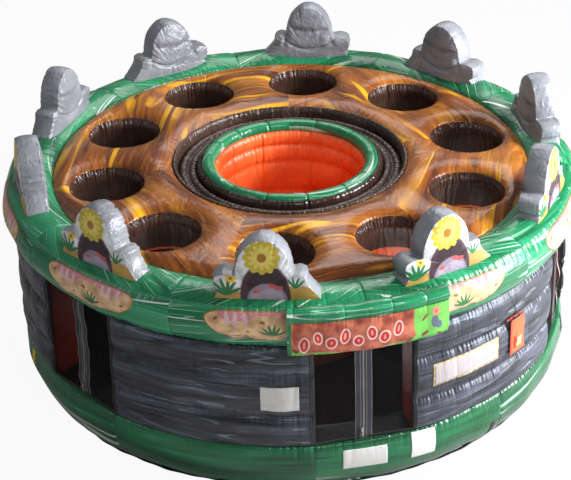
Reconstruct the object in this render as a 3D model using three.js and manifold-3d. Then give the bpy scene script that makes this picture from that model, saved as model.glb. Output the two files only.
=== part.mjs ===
// A round inflatable pounding game: a drum with ten player holes around a central pit.
// Millimetres, +Z up, the front faces -Y, the origin is on the floor at the drum's centre.

import * as THREE from 'three';
import { mergeVertices } from 'three/addons/utils/BufferGeometryUtils.js';
import Module from 'manifold-3d';

const wasm = await Module();
wasm.setup();

// Clearances
const gap = 0.3;
const overrun = 40;
const airGap = 2;
const weldDistance = 0.001;

// A full turn in degrees, and the facets in it
const fullTurn = 360;
const drumFacets = 48;
const holeFacets = 20;
const ductFacets = 16;

// The drum's wall: a ring of stacked tubes between a base ring and a top ring
const wallRadius = 2200;
const wallThickness = 264;
const rowHeights = [265, 355, 260];
const rowBulge = 28;
const innerRowBulge = 15;

// Base ring
const baseHeight = 425;
const baseBulge = 15;
const baseFootInset = 100;
const baseInnerBulge = 25;

// Floor mat inside the base ring
const matThickness = 120;

// Top ring
const ringWidth = 299;
const grooveOverhang = 44;
const grooveRise = 345;
const frontBulge = 100;
const crestInset = 154;
const crestRise = 393;
const ringInnerRise = 341;

// Inflated deck with the player holes, the hole's radius as a share of the wall's radius
const deckThickness = 354;
const deckCrown = 34;
const deckShoulder = 110;
const deckInnerRise = 44;
const holeCount = 10;
const holeShare = 0.1382;
const firstHoleAngle = -4.95;

// Centre: outer roll, mesh moat, collar, rim, pit wall and pit floor
// Radii and thicknesses as shares of the wall's radius, so the centre keeps its place in the deck
const rollOuterShare = 0.43;
const rollWidthShare = 0.0214;
const rollRise = 8;
const rollSkirt = 32;
const pitSeamShare = 0.2727;
const pitWallShare = 0.0409;
const pitBulge = 22;
const pitTopDrop = 16;
const pitRowHeights = [123, 154, 277, 277];
const pitFloorHeight = 820;
const pitFloorCrown = 20;
const rimWidth = 111;
const rimRise = 70;
const rimOuterRise = 38;
const collarShare = 0.0195;
const collarBulge = 14;
const collarHeight = 290;
const collarLip = 42;
const moatDrop = 77;
const moatThickness = 8;

// Doors: two mesh flaps that meet at a zip
const doorWidth = 749;
const doorAngles = [-48.3, 13.1, 74.6, 134, 193, 252];
const meshThickness = 3;
const tapeWidth = 74;
const tapeThickness = 5;
const sillGap = 2;

// Zip slider
const sliderWidth = 20;
const sliderHeight = 38;
const sliderDepth = 9;
const sliderEdge = 2;
const sliderRestHeight = 60;
const pullWidth = 12;
const pullLength = 52;
const pullThickness = 3;

// Rock cut-outs
const rockWidth = 775;
const rockHeight = 505;
const rockThickness = 200;
const rockRounding = 22;
const rockFrontInset = 22;
const rockFoot = 20;

// Banner over the front door
const bannerStartAngle = -1.3;
const bannerSpanAngle = 28.9;
const bannerStandOff = 76;
const bannerHeight = 284;
const bannerDrop = 19;
const bannerRoll = 92;
const bannerSlope = 46;
const bannerSheetThickness = 3;

// Hanging flap on the front right wall
const hangAngle = 48.5;
const hangWidth = 200;
const hangLength = 295;
const hangThickness = 5;
const hangHemHeight = 12;

// Fill sleeve and blower behind the drum
const blowerAngle = 163.5;
const ductRadius = 104;
const ductWall = 3;
const ductLength = 820;
const ductHeight = 150;
const snoutLength = 110;
const snoutWall = 9;
const scrollRadius = 225;
const scrollWidth = 330;
const scrollWall = 10;
const scrollRise = 20;
const inletRadius = 120;
const guardHub = 26;
const guardBar = 9;
const guardBars = 6;
const fanRadius = 150;
const fanWidth = 210;
const fanRim = 6;
const fanBlades = 8;
const bladeDepth = 42;
const bladeThickness = 4;
const shaftRadius = 9;
const shaftClearance = 0.5;
const footHeight = 36;
const footWidth = 40;
const footLength = 250;

const wallInner = wallRadius - wallThickness;
const wallHeight = rowHeights.reduce((sum, height) => sum + height, 0);
const wallTop = baseHeight + wallHeight;
const grooveHeight = wallTop + grooveRise;
const ringInner = wallRadius - ringWidth;
const deckSeamHeight = wallTop + ringInnerRise;
const deckInnerHeight = deckSeamHeight + deckInnerRise;
const holeRadius = wallRadius * holeShare;
const holeCircleRadius = ringInner - deckShoulder - holeRadius;
const rollOuterRadius = wallRadius * rollOuterShare;
const rollWidth = wallRadius * rollWidthShare;
const rollInner = rollOuterRadius - rollWidth;
const pitSeamRadius = wallRadius * pitSeamShare;
const pitWallThickness = wallRadius * pitWallShare;
const collarThickness = wallRadius * collarShare;
const pitTop = deckSeamHeight - pitTopDrop;
const pitOuter = pitSeamRadius + pitWallThickness;
const collarOuter = pitOuter + gap + collarThickness;
const collarTop = pitTop - gap;
const moatHeight = deckInnerHeight - rollRise - moatDrop;
const bannerEndAngle = bannerStartAngle + bannerSpanAngle;
const doorPlane = Math.sqrt(wallRadius ** 2 - (doorWidth / 2) ** 2);
const pitch = fullTurn / holeCount;

const rad = (degrees) => degrees * Math.PI / 180;

// Materials
const paint = (color, roughness = 0.4, metalness = 0) =>
  new THREE.MeshStandardMaterial({ color, roughness, metalness });
const greenVinyl = paint(0x1f7a45);
const greyVinyl = paint(0x5a5d68);
const brownVinyl = paint(0x3a2520);
const deckVinyl = paint(0x9a6238);
const orangeVinyl = paint(0xf0501c);
const rockVinyl = paint(0x8e9094);
const blackMesh = paint(0x121114, 0.8);
const brownMesh = paint(0x2a1f1b, 0.7);
const matVinyl = paint(0x2c2c30, 0.6);
const bannerPrint = paint(0x8c4630);
const zipMetal = paint(0xb9b6ae, 0.35, 0.8);
const blowerPlastic = paint(0x24509a, 0.5);
const fanPlastic = paint(0x2b2b2b, 0.5);

const game = new THREE.Group();

// Solids

// A closed geometry with merged vertices, as a solid that can be joined and cut
function toSolid(geometry) {
  const bare = geometry.clone();
  bare.deleteAttribute('normal');
  bare.deleteAttribute('uv');
  const merged = mergeVertices(bare, weldDistance);
  const kept = [];
  const index = merged.index.array;
  for (let i = 0; i < index.length; i += 3) {
    const [a, b, c] = [index[i], index[i + 1], index[i + 2]];
    if (a !== b && b !== c && a !== c) kept.push(a, b, c);
  }
  return new wasm.Manifold(new wasm.Mesh({
    numProp: 3,
    vertProperties: new Float32Array(merged.attributes.position.array),
    triVerts: new Uint32Array(kept),
  }));
}

function toGeometry(solid) {
  const mesh = solid.getMesh();
  const geometry = new THREE.BufferGeometry();
  const places = new Float32Array(mesh.vertProperties);
  geometry.setAttribute('position', new THREE.BufferAttribute(places, 3));
  geometry.setIndex(new THREE.BufferAttribute(new Uint32Array(mesh.triVerts), 1));
  geometry.computeVertexNormals();
  return geometry;
}

function add(name, solid, material) {
  const mesh = new THREE.Mesh(toGeometry(solid), material);
  mesh.name = name;
  game.add(mesh);
}

// A profile of [radius, height] points turned about Z
function turned(profile, facets) {
  const closed = [...profile, profile[0]].map(([r, z]) => new THREE.Vector2(r, z));
  const geometry = new THREE.LatheGeometry(closed, facets);
  geometry.rotateX(Math.PI / 2);
  return toSolid(geometry);
}

function block(width, depth, height, x, y, z) {
  return toSolid(new THREE.BoxGeometry(width, depth, height).translate(x, y, z));
}

// An outline of [x, y] points extruded from z low to z high
function prism(outline, low, high) {
  const shape = new THREE.Shape(outline.map(([x, y]) => new THREE.Vector2(x, y)));
  const geometry = new THREE.ExtrudeGeometry(shape, { depth: high - low, bevelEnabled: false });
  return toSolid(geometry.translate(0, 0, low));
}

function cylinder(radius, low, high, facets, x = 0, y = 0) {
  const geometry = new THREE.CylinderGeometry(radius, radius, high - low, facets);
  return toSolid(geometry.rotateX(Math.PI / 2).translate(x, y, (low + high) / 2));
}

// Turns a solid that faces -Y to face outwards at an angle counted from the front
function faceOut(solid, degrees) {
  return solid.rotate([0, 0, degrees]);
}

// A wedge of the full circle between two angles counted from the front
function wedge(startAngle, endAngle, low, high) {
  const widest = wallRadius + frontBulge + bannerStandOff + overrun;
  const reach = widest / Math.cos(rad((endAngle - startAngle) / 4));
  const outline = [[0, 0]];
  for (const share of [0, 0.5, 1]) {
    const angle = rad(startAngle + share * (endAngle - startAngle));
    outline.push([reach * Math.sin(angle), -reach * Math.cos(angle)]);
  }
  return prism(outline, low, high);
}

// Profiles of the rings; grow moves each outer surface outwards by a clearance

function baseProfile(grow = 0) {
  const outer = wallRadius + grow;
  return [
    [wallInner, 0],
    [outer - baseFootInset, 0],
    [outer - baseFootInset * 0.3, baseHeight * 0.12],
    [outer + baseBulge, baseHeight * 0.42],
    [outer + baseBulge, baseHeight * 0.66],
    [outer, baseHeight],
    [wallInner, baseHeight],
    [wallInner - baseInnerBulge, baseHeight * 0.65],
    [wallInner, Math.min(matThickness, baseHeight * 0.4)],
  ];
}

function wallProfile(grow = 0) {
  const low = baseHeight + gap;
  const scale = (wallHeight - 2 * gap) / wallHeight;
  const outside = [[wallRadius + grow, low]];
  const inside = [[wallInner, low]];
  let z = low;
  for (const rowHeight of rowHeights) {
    const height = rowHeight * scale;
    outside.push([wallRadius + rowBulge * 0.8 + grow, z + height * 0.2]);
    outside.push([wallRadius + rowBulge + grow, z + height * 0.5]);
    outside.push([wallRadius + rowBulge * 0.8 + grow, z + height * 0.8]);
    outside.push([wallRadius + grow, z + height]);
    inside.push([wallInner - innerRowBulge, z + height * 0.5]);
    inside.push([wallInner, z + height]);
    z += height;
  }
  return [...outside, ...inside.reverse()];
}

function topRingProfile(grow = 0) {
  return [
    [ringInner, wallTop],
    [wallRadius + grow, wallTop],
    [wallRadius + frontBulge * 0.75 + grow, wallTop + grooveRise * 0.2],
    [wallRadius + frontBulge + grow, wallTop + grooveRise * 0.5],
    [wallRadius + frontBulge * 0.85 + grow, wallTop + grooveRise * 0.82],
    [wallRadius + grooveOverhang + grow, grooveHeight + grow],
    [wallRadius - crestInset * 0.3, wallTop + crestRise * 0.95 + grow],
    [wallRadius - crestInset, wallTop + crestRise + grow],
    [ringInner + ringWidth * 0.15, wallTop + crestRise * 0.95 + grow],
    [ringInner, deckSeamHeight + grow],
  ];
}

// Base, floor and walls

function baseRing() {
  return turned(baseProfile(), drumFacets);
}

function floorMat() {
  const radius = wallInner - gap;
  return turned([[0, 0], [radius, 0], [radius, matThickness - gap], [0, matThickness - gap]], drumFacets);
}

function doorBox(angle) {
  const depth = wallThickness + 2 * overrun + 2 * rowBulge;
  const middle = wallRadius - wallThickness / 2;
  const height = wallHeight + 2 * overrun;
  return faceOut(block(doorWidth, depth, height, 0, -middle, baseHeight + wallHeight / 2), angle);
}

function wallPanel(index) {
  const start = doorAngles[index];
  const end = doorAngles[(index + 1) % doorAngles.length];
  const span = (end - start + fullTurn) % fullTurn;
  const sector = wedge(start, start + span, baseHeight - overrun, wallTop + overrun);
  return turned(wallProfile(), drumFacets)
    .intersect(sector)
    .subtract(doorBox(start))
    .subtract(doorBox(end));
}

// Top ring and deck

function topRing() {
  return turned(topRingProfile(), drumFacets);
}

// One tenth of the deck, with a player hole in its middle and a clearance to its neighbours
function deckPanel(index) {
  const outer = ringInner - gap;
  const inner = rollOuterRadius + gap;
  const low = deckSeamHeight - deckThickness;
  const shift = gap / 2 / Math.sin(rad(pitch / 2));
  const sector = wedge(-pitch / 2, pitch / 2, low - overrun, deckInnerHeight + overrun)
    .translate([0, -shift, 0]);
  const hole = cylinder(
    holeRadius, low - overrun, deckInnerHeight + overrun, holeFacets,
    0, -holeCircleRadius,
  );
  return turned([
    [inner, low],
    [outer, low],
    [outer, deckSeamHeight],
    [outer - deckShoulder, deckSeamHeight + deckCrown],
    [inner, deckInnerHeight],
  ], drumFacets)
    .intersect(faceOut(sector, firstHoleAngle + index * pitch))
    .subtract(faceOut(hole, firstHoleAngle + index * pitch));
}

// Centre

function centreRoll() {
  const low = deckSeamHeight - deckThickness;
  const crest = deckInnerHeight + rollRise;
  const drop = crest - moatHeight;
  return turned([
    [rollInner + rollWidth * 0.2, low],
    [rollOuterRadius, low],
    [rollOuterRadius, deckInnerHeight],
    [rollOuterRadius - rollWidth * 0.25, crest],
    [rollInner + rollWidth * 0.4, crest - drop * 0.12],
    [rollInner + rollWidth * 0.1, crest - drop * 0.4],
    [rollInner, crest - drop * 0.75],
    [rollInner, moatHeight - rollSkirt],
  ], drumFacets);
}

function moatMesh() {
  const inner = collarOuter + collarBulge + gap;
  const outer = rollInner - gap;
  return turned([
    [inner, moatHeight - moatThickness],
    [outer, moatHeight - moatThickness],
    [outer, moatHeight],
    [inner, moatHeight],
  ], drumFacets);
}

function pitWall() {
  const low = matThickness;
  const inside = [[pitSeamRadius, pitTop]];
  let z = pitTop;
  for (const height of pitRowHeights) {
    inside.push([pitSeamRadius - pitBulge, z - height * 0.5]);
    inside.push([pitSeamRadius, z - height]);
    z -= height;
  }
  inside.push([pitSeamRadius - pitBulge, (z + low) / 2]);
  inside.push([pitSeamRadius, low]);
  return turned([...inside, [pitOuter, low], [pitOuter, pitTop]], drumFacets);
}

function pitFloor() {
  const radius = pitSeamRadius - pitBulge - gap;
  const low = matThickness;
  return turned([
    [0, low],
    [radius, low],
    [radius, pitFloorHeight - pitFloorCrown],
    [radius * 0.85, pitFloorHeight - pitFloorCrown * 0.2],
    [0, pitFloorHeight],
  ], drumFacets);
}

function pitRim() {
  const outer = pitSeamRadius + rimWidth;
  const low = pitTop + gap;
  return turned([
    [pitSeamRadius, low],
    [outer, low],
    [outer, low + rimOuterRise * 0.6],
    [outer - rimWidth * 0.15, low + rimRise * 0.8],
    [outer - rimWidth * 0.5, low + rimRise],
    [pitSeamRadius + rimWidth * 0.15, low + rimRise * 0.7],
  ], drumFacets);
}

function pitCollar() {
  const inner = pitOuter + gap;
  const low = collarTop - collarHeight;
  const lip = pitSeamRadius + rimWidth + gap;
  const lipTop = collarTop + collarLip;
  return turned([
    [inner, low],
    [collarOuter, low],
    [collarOuter + collarBulge, moatHeight - moatThickness],
    [collarOuter + collarBulge, moatHeight + collarLip],
    [collarOuter, lipTop - collarBulge * 0.7],
    [collarOuter - collarBulge * 0.7, lipTop],
    [lip, lipTop],
    [lip, collarTop],
    [inner, collarTop],
  ], drumFacets);
}

// Rocks: an outline in shares of the rock's width and height, extruded and seated on the top ring
const rockOutlineShares = [
  [-0.5, 0], [-0.47, 0.11], [-0.44, 0.16], [-0.485, 0.22], [-0.485, 0.37], [-0.43, 0.42], [-0.36, 0.43],
  [-0.3, 0.42], [-0.285, 0.58], [-0.24, 0.77], [-0.17, 0.91], [-0.09, 0.985], [-0.02, 1], [0.05, 0.98],
  [0.12, 0.9], [0.19, 0.76], [0.225, 0.56], [0.24, 0.44], [0.3, 0.45], [0.355, 0.42], [0.37, 0.32],
  [0.42, 0.2], [0.49, 0.08], [0.5, 0],
];

function rockBody() {
  const base = grooveHeight;
  const pull = (x) => rockRounding * Math.min(1, Math.abs(x) / (rockWidth * 0.2));
  const inside = (x) => x - Math.sign(x) * pull(x);
  const rise = (z) => (z === 0 ? -rockFoot : z * (rockHeight - rockRounding));
  const shape = new THREE.Shape(
    rockOutlineShares.map(([x, z]) => new THREE.Vector2(inside(x * rockWidth), rise(z))),
  );
  const geometry = new THREE.ExtrudeGeometry(shape, {
    depth: rockThickness - 2 * rockRounding,
    bevelEnabled: true,
    bevelThickness: rockRounding,
    bevelSize: rockRounding,
    bevelSegments: 2,
  });
  geometry.rotateX(Math.PI / 2);
  geometry.translate(0, rockThickness - rockRounding - wallRadius + rockFrontInset, base);
  return toSolid(geometry);
}

function rock(index) {
  const seat = turned(topRingProfile(gap), drumFacets);
  return faceOut(rockBody(), firstHoleAngle + index * pitch).subtract(seat);
}

// Doors

function doorLeaf(side, angle) {
  const outer = -doorPlane;
  const hinge = side * (doorWidth / 2 - gap);
  const meet = side * gap / 2;
  const tapeEdge = meet + side * tapeWidth;
  const outline = [
    [hinge, outer],
    [hinge, outer + meshThickness],
    [tapeEdge, outer + meshThickness],
    [tapeEdge, outer + tapeThickness],
    [meet, outer + tapeThickness],
    [meet, outer],
  ];
  const leaf = prism(outline, baseHeight + sillGap, wallTop - sillGap);
  return faceOut(leaf, angle);
}

function zipSlider(angle) {
  const x = -(gap / 2 + sliderEdge + sliderWidth / 2);
  const front = -doorPlane - gap;
  const low = baseHeight + sillGap + sliderRestHeight;
  const body = block(
    sliderWidth, sliderDepth, sliderHeight,
    x, front - sliderDepth / 2, low + sliderHeight / 2,
  );
  const pullTop = low + sliderHeight / 2;
  const pullY = front - sliderDepth - pullThickness / 2 + airGap / 2;
  const pull = block(pullWidth, pullThickness + airGap, pullLength, x, pullY, pullTop - pullLength / 2);
  return faceOut(body.add(pull), angle);
}

// Banner: an inflated pad that hangs over the ring's front, with a printed sheet on it

function bannerPad() {
  const face = wallRadius + frontBulge + bannerStandOff;
  const low = wallTop + bannerDrop;
  const sheetTop = low + bannerHeight;
  const profile = [
    [wallRadius, low + bannerStandOff * 0.5],
    [face - bannerStandOff * 0.5, low],
    [face, low + bannerStandOff * 0.3],
    [face, sheetTop],
    [face - bannerRoll * 0.25, sheetTop + bannerRoll * 0.55],
    [face - bannerRoll, sheetTop + bannerRoll * 0.95],
    [wallRadius + grooveOverhang, sheetTop + bannerSlope],
    [wallRadius, sheetTop + bannerSlope * 0.5],
  ];
  const high = sheetTop + bannerRoll;
  const sector = wedge(bannerStartAngle, bannerEndAngle, low - overrun, high + overrun);
  const seat = turned(topRingProfile(gap), drumFacets);
  return turned(profile, drumFacets).intersect(sector).subtract(seat);
}

function bannerSheet() {
  const inner = wallRadius + frontBulge + bannerStandOff + gap;
  const low = wallTop + bannerDrop + bannerStandOff * 0.3;
  const high = wallTop + bannerDrop + bannerHeight;
  const outer = inner + bannerSheetThickness;
  const sector = wedge(bannerStartAngle, bannerEndAngle, low - overrun, high + overrun);
  return turned([[inner, low], [outer, low], [outer, high], [inner, high]], drumFacets).intersect(sector);
}

// Hanging flap and the sewn strip that carries it

const hangTop = baseHeight + rowHeights[0] + rowHeights[1];
const hangPlane = wallRadius + rowBulge + gap;

function hangingFlap() {
  const flap = block(
    hangWidth, hangThickness, hangLength,
    0, -hangPlane - hangThickness / 2, hangTop - hangLength / 2,
  );
  return faceOut(flap, hangAngle);
}

function hangingStrip() {
  const depth = rowBulge + gap + hangThickness + overrun;
  const strip = block(
    hangWidth, depth, hangHemHeight,
    0, -hangPlane - hangThickness + depth / 2, hangTop + gap + hangHemHeight / 2,
  );
  return faceOut(strip, hangAngle);
}

// Blower: a scroll housing with a guarded inlet on each side and a fan on a shaft

const scrollOffset = wallRadius + baseBulge + ductLength + scrollRadius;
const scrollHeight = scrollRise + scrollRadius;

// A disc whose axis runs along X, centred on the scroll
function disc(radius, width, facets) {
  const geometry = new THREE.CylinderGeometry(radius, radius, width, facets);
  return toSolid(geometry.rotateZ(Math.PI / 2).translate(0, -scrollOffset, scrollHeight));
}

// A tube along Y between two distances from the drum's centre
function duct(radius, near, far) {
  const geometry = new THREE.CylinderGeometry(radius, radius, far - near, ductFacets);
  return toSolid(geometry.translate(0, -(near + far) / 2, ductHeight));
}

function fillSleeve() {
  const near = wallInner;
  const far = scrollOffset - scrollRadius - scrollWall;
  const outer = duct(ductRadius + gap + ductWall, near, far);
  const inner = duct(ductRadius + gap, near - overrun, far + overrun);
  const seat = turned(baseProfile(gap), drumFacets).add(cylinder(wallRadius, 0, baseHeight, drumFacets));
  return faceOut(outer.subtract(inner), blowerAngle).subtract(seat);
}

function blowerHousing() {
  const snoutNear = scrollOffset - scrollRadius - snoutLength;
  const outerShell = disc(scrollRadius, scrollWidth, ductFacets)
    .add(duct(ductRadius, snoutNear, scrollOffset));
  const cavity = disc(scrollRadius - scrollWall, scrollWidth - 2 * scrollWall, ductFacets)
    .add(duct(ductRadius - snoutWall, snoutNear - overrun, scrollOffset));
  let shell = outerShell
    .subtract(cavity)
    .subtract(disc(inletRadius, scrollWidth + 2 * overrun, ductFacets));
  const barSpan = inletRadius + scrollWall / 2;
  for (const side of [-1, 1]) {
    const x = side * (scrollWidth - scrollWall) / 2;
    for (let k = 0; k < guardBars; k += 1) {
      const bar = new THREE.BoxGeometry(scrollWall / 2, barSpan, guardBar);
      bar.translate(0, barSpan / 2, 0).rotateX(rad(k * fullTurn / guardBars));
      shell = shell.add(toSolid(bar.translate(x, -scrollOffset, scrollHeight)));
    }
    const hub = new THREE.CylinderGeometry(guardHub, guardHub, scrollWall, ductFacets);
    shell = shell.add(toSolid(hub.rotateZ(Math.PI / 2).translate(x, -scrollOffset, scrollHeight)));
  }
  for (const side of [-1, 1]) {
    const x = side * (scrollWidth - footWidth) / 2;
    const foot = block(footWidth, footLength, footHeight, x, -scrollOffset, footHeight / 2);
    shell = shell.add(foot.subtract(disc(scrollRadius - scrollWall / 2, scrollWidth, ductFacets)));
  }
  const bore = disc(shaftRadius + shaftClearance, scrollWidth + 2 * overrun, ductFacets);
  return faceOut(shell.subtract(bore), blowerAngle);
}

function blowerFan() {
  const plate = disc(fanRadius - fanRim, fanRim, ductFacets);
  const envelope = disc(fanRadius, fanWidth, ductFacets)
    .subtract(disc(fanRadius - bladeDepth, fanWidth, ductFacets))
    .add(plate);
  let fan = disc(shaftRadius, scrollWidth, ductFacets).add(plate);
  for (const side of [-1, 1]) {
    const rim = disc(fanRadius, fanRim, ductFacets)
      .subtract(disc(fanRadius - bladeDepth, 2 * fanRim, ductFacets));
    fan = fan.add(rim.translate([side * (fanWidth - fanRim) / 2, 0, 0]));
  }
  for (let k = 0; k < fanBlades; k += 1) {
    const blade = new THREE.BoxGeometry(fanWidth, bladeThickness, bladeDepth + fanRim);
    blade.translate(0, 0, fanRadius - (bladeDepth + fanRim) / 2).rotateX(rad(k * fullTurn / fanBlades));
    fan = fan.add(toSolid(blade.translate(0, -scrollOffset, scrollHeight)).intersect(envelope));
  }
  return faceOut(fan, blowerAngle);
}

// Assembly

add('base_ring', baseRing(), greenVinyl);
add('floor_mat', floorMat(), matVinyl);

doorAngles.forEach((angle, index) => {
  const start = angle;
  const end = doorAngles[(index + 1) % doorAngles.length];
  let panel = wallPanel(index);
  if (hangAngle > start && hangAngle < end) {
    panel = panel.add(hangingStrip());
  }
  add(`wall_panel_${index + 1}`, panel, greyVinyl);
});

add('top_ring', topRing(), greenVinyl);

for (let k = 0; k < holeCount; k += 1) {
  add(`deck_panel_${k + 1}`, deckPanel(k), deckVinyl);
  add(`rock_${k + 1}`, rock(k), rockVinyl);
}

add('centre_roll', centreRoll(), brownVinyl);
add('moat_mesh', moatMesh(), brownMesh);
add('pit_collar', pitCollar(), brownVinyl);
add('pit_rim', pitRim(), greenVinyl);
add('pit_wall', pitWall(), orangeVinyl);
add('pit_floor', pitFloor(), orangeVinyl);

doorAngles.forEach((angle, index) => {
  add(`door_${index + 1}_left_flap`, doorLeaf(-1, angle), blackMesh);
  add(`door_${index + 1}_right_flap`, doorLeaf(1, angle), blackMesh);
  add(`door_${index + 1}_zip_slider`, zipSlider(angle), zipMetal);
});

add('banner_pad', bannerPad(), greenVinyl);
add('banner_sheet', bannerSheet(), bannerPrint);
add('hanging_flap', hangingFlap(), orangeVinyl);
add('fill_sleeve', fillSleeve(), greenVinyl);
add('blower_housing', blowerHousing(), blowerPlastic);
add('blower_fan', blowerFan(), fanPlastic);

export default game;
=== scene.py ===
import math

import bpy
import numpy as np
from mathutils import Matrix, Vector


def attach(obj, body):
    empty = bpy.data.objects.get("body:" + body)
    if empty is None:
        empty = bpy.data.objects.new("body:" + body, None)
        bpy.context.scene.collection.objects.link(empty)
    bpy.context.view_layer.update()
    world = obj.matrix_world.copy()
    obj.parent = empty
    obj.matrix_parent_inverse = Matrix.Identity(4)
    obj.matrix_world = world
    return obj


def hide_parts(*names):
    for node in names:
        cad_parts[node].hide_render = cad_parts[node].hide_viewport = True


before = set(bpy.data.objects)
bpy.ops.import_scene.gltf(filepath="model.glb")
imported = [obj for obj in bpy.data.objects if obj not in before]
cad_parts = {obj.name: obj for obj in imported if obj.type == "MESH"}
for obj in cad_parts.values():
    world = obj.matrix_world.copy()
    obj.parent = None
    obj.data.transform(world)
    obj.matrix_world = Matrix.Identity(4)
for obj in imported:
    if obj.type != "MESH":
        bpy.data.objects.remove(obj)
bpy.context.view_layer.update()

# Metres, Z up, the front faces -Y. Azimuths are degrees counted from the front towards +X.

# Camera: the photograph's place, from the circles of the deck, the holes and the rings
SENSOR_WIDTH, LENS = 36, 117.77
CAMERA_PLACE = (0, -13.3707, 8.5032)
CAMERA_RIGHT = Vector((0.99964, -0.00997, -0.02475))
CAMERA_UP = Vector((0.026445, 0.492993, 0.869631))
CAMERA_BACK = Vector((0.00353, -0.86998, 0.49308))

camera_data = bpy.data.cameras.new("camera")
camera_data.sensor_width = SENSOR_WIDTH
camera_data.lens = LENS
camera = bpy.data.objects.new("camera", camera_data)
bpy.context.scene.collection.objects.link(camera)
turn = Matrix((CAMERA_RIGHT, CAMERA_UP, CAMERA_BACK)).transposed().to_4x4()
camera.matrix_world = Matrix.Translation(CAMERA_PLACE) @ turn
bpy.context.scene.camera = camera
bpy.context.scene.view_settings.view_transform = "Standard"

# The drum's main sizes, as in the CAD
WALL, WALL_INNER = 2.2, 1.936  # radii of the wall's seams and of its inner face
BASE_TOP = 0.425
ROW_SEAMS = (0.4253, 0.69, 1.045, 1.3047)  # heights of the seams of the wall's three rows
RING_FOOT = 1.305
GROOVE = (2.244, 1.65)  # radius and height of the seam between the top ring's two bulges
RING_INNER = 1.901
DECK_EDGE, DECK_LOW = 1.646, 1.292  # heights of the deck's seam at the ring, and of its underside
HOLES = 10
PITCH = 36.0
FIRST_HOLE = -4.95
HOLE, HOLE_CIRCLE = 0.304, 1.487  # radii of a player hole, and of the circle that the holes stand on
ROLL = 0.946
PIT, PIT_TOP = 0.6, 1.63
FLOOR_TOP = 0.12
DOORS = (-48.3, 13.1, 74.6, 134.0, 193.0, 252.0)
DOOR_HALF, DOOR_CLEAR = 0.3745, 0.3751  # half a doorway's width, and where the skins beside it end
DOOR_PLANE = math.sqrt(WALL**2 - DOOR_HALF**2)
HOLE_ANGLES = [FIRST_HOLE + PITCH * k for k in range(HOLES)]


# Colours and materials


def linear(text):
    """An sRGB hex colour as linear red, green, blue and alpha"""
    parts = [int(text[i:i + 2], 16) / 255 for i in (0, 2, 4)]
    return [c / 12.92 if c <= 0.04045 else ((c + 0.055) / 1.055) ** 2.4 for c in parts] + [1]


def add_node(tree, kind, values=None, links=None, stops=None, **settings):
    """One shader node with its settings, its fixed inputs, what is linked to its inputs, and a colour ramp's
    stops; a hex text stands for a colour"""
    made = tree.nodes.new(kind)
    for key, value in settings.items():
        setattr(made, key, value)
    for socket, value in (values or {}).items():
        made.inputs[socket].default_value = linear(value) if isinstance(value, str) else value
    for socket, source in (links or {}).items():
        tree.links.new(source, made.inputs[socket])
    if stops:
        bar = made.color_ramp
        while len(bar.elements) < len(stops):
            bar.elements.new(0.5)
        for element, (place, colour) in zip(bar.elements, stops):
            element.position = place
            element.color = linear(colour)
    return made


def new_material(name, roughness, specular=0.5, **fixed):
    """A material with a Principled shader, its tree and shader node, and a point's place on the object"""
    made = bpy.data.materials.new(name)
    made.use_nodes = True
    tree = made.node_tree
    tree.nodes.clear()
    shader = add_node(tree, "ShaderNodeBsdfPrincipled",
                      {"Roughness": roughness, "Specular IOR Level": specular, **fixed})
    add_node(tree, "ShaderNodeOutputMaterial", links={"Surface": shader.outputs["BSDF"]})
    place = add_node(tree, "ShaderNodeTexCoord").outputs["Object"]
    return made, tree, shader, place


def wrinkles(tree, shader, place, per_metre, depth):
    """Fine creases of coated cloth, so many to a metre, and its 1 mm weave, drawn 3 mm wide so that it
    shows"""
    soft = add_node(tree, "ShaderNodeTexNoise",
                    {"Scale": per_metre, "Detail": 4.0, "Roughness": 0.55, "Distortion": 0.8},
                    {"Vector": place})
    crease = add_node(tree, "ShaderNodeBump", {"Strength": 1.0, "Distance": depth},
                      {"Height": soft.outputs["Fac"]})
    weave = add_node(tree, "ShaderNodeTexNoise", {"Scale": 330.0, "Detail": 1.0}, {"Vector": place})
    cloth = add_node(tree, "ShaderNodeBump", {"Strength": 0.6, "Distance": 0.0004},
                     {"Height": weave.outputs["Fac"], "Normal": crease.outputs["Normal"]})
    tree.links.new(cloth.outputs["Normal"], shader.inputs["Normal"])


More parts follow.
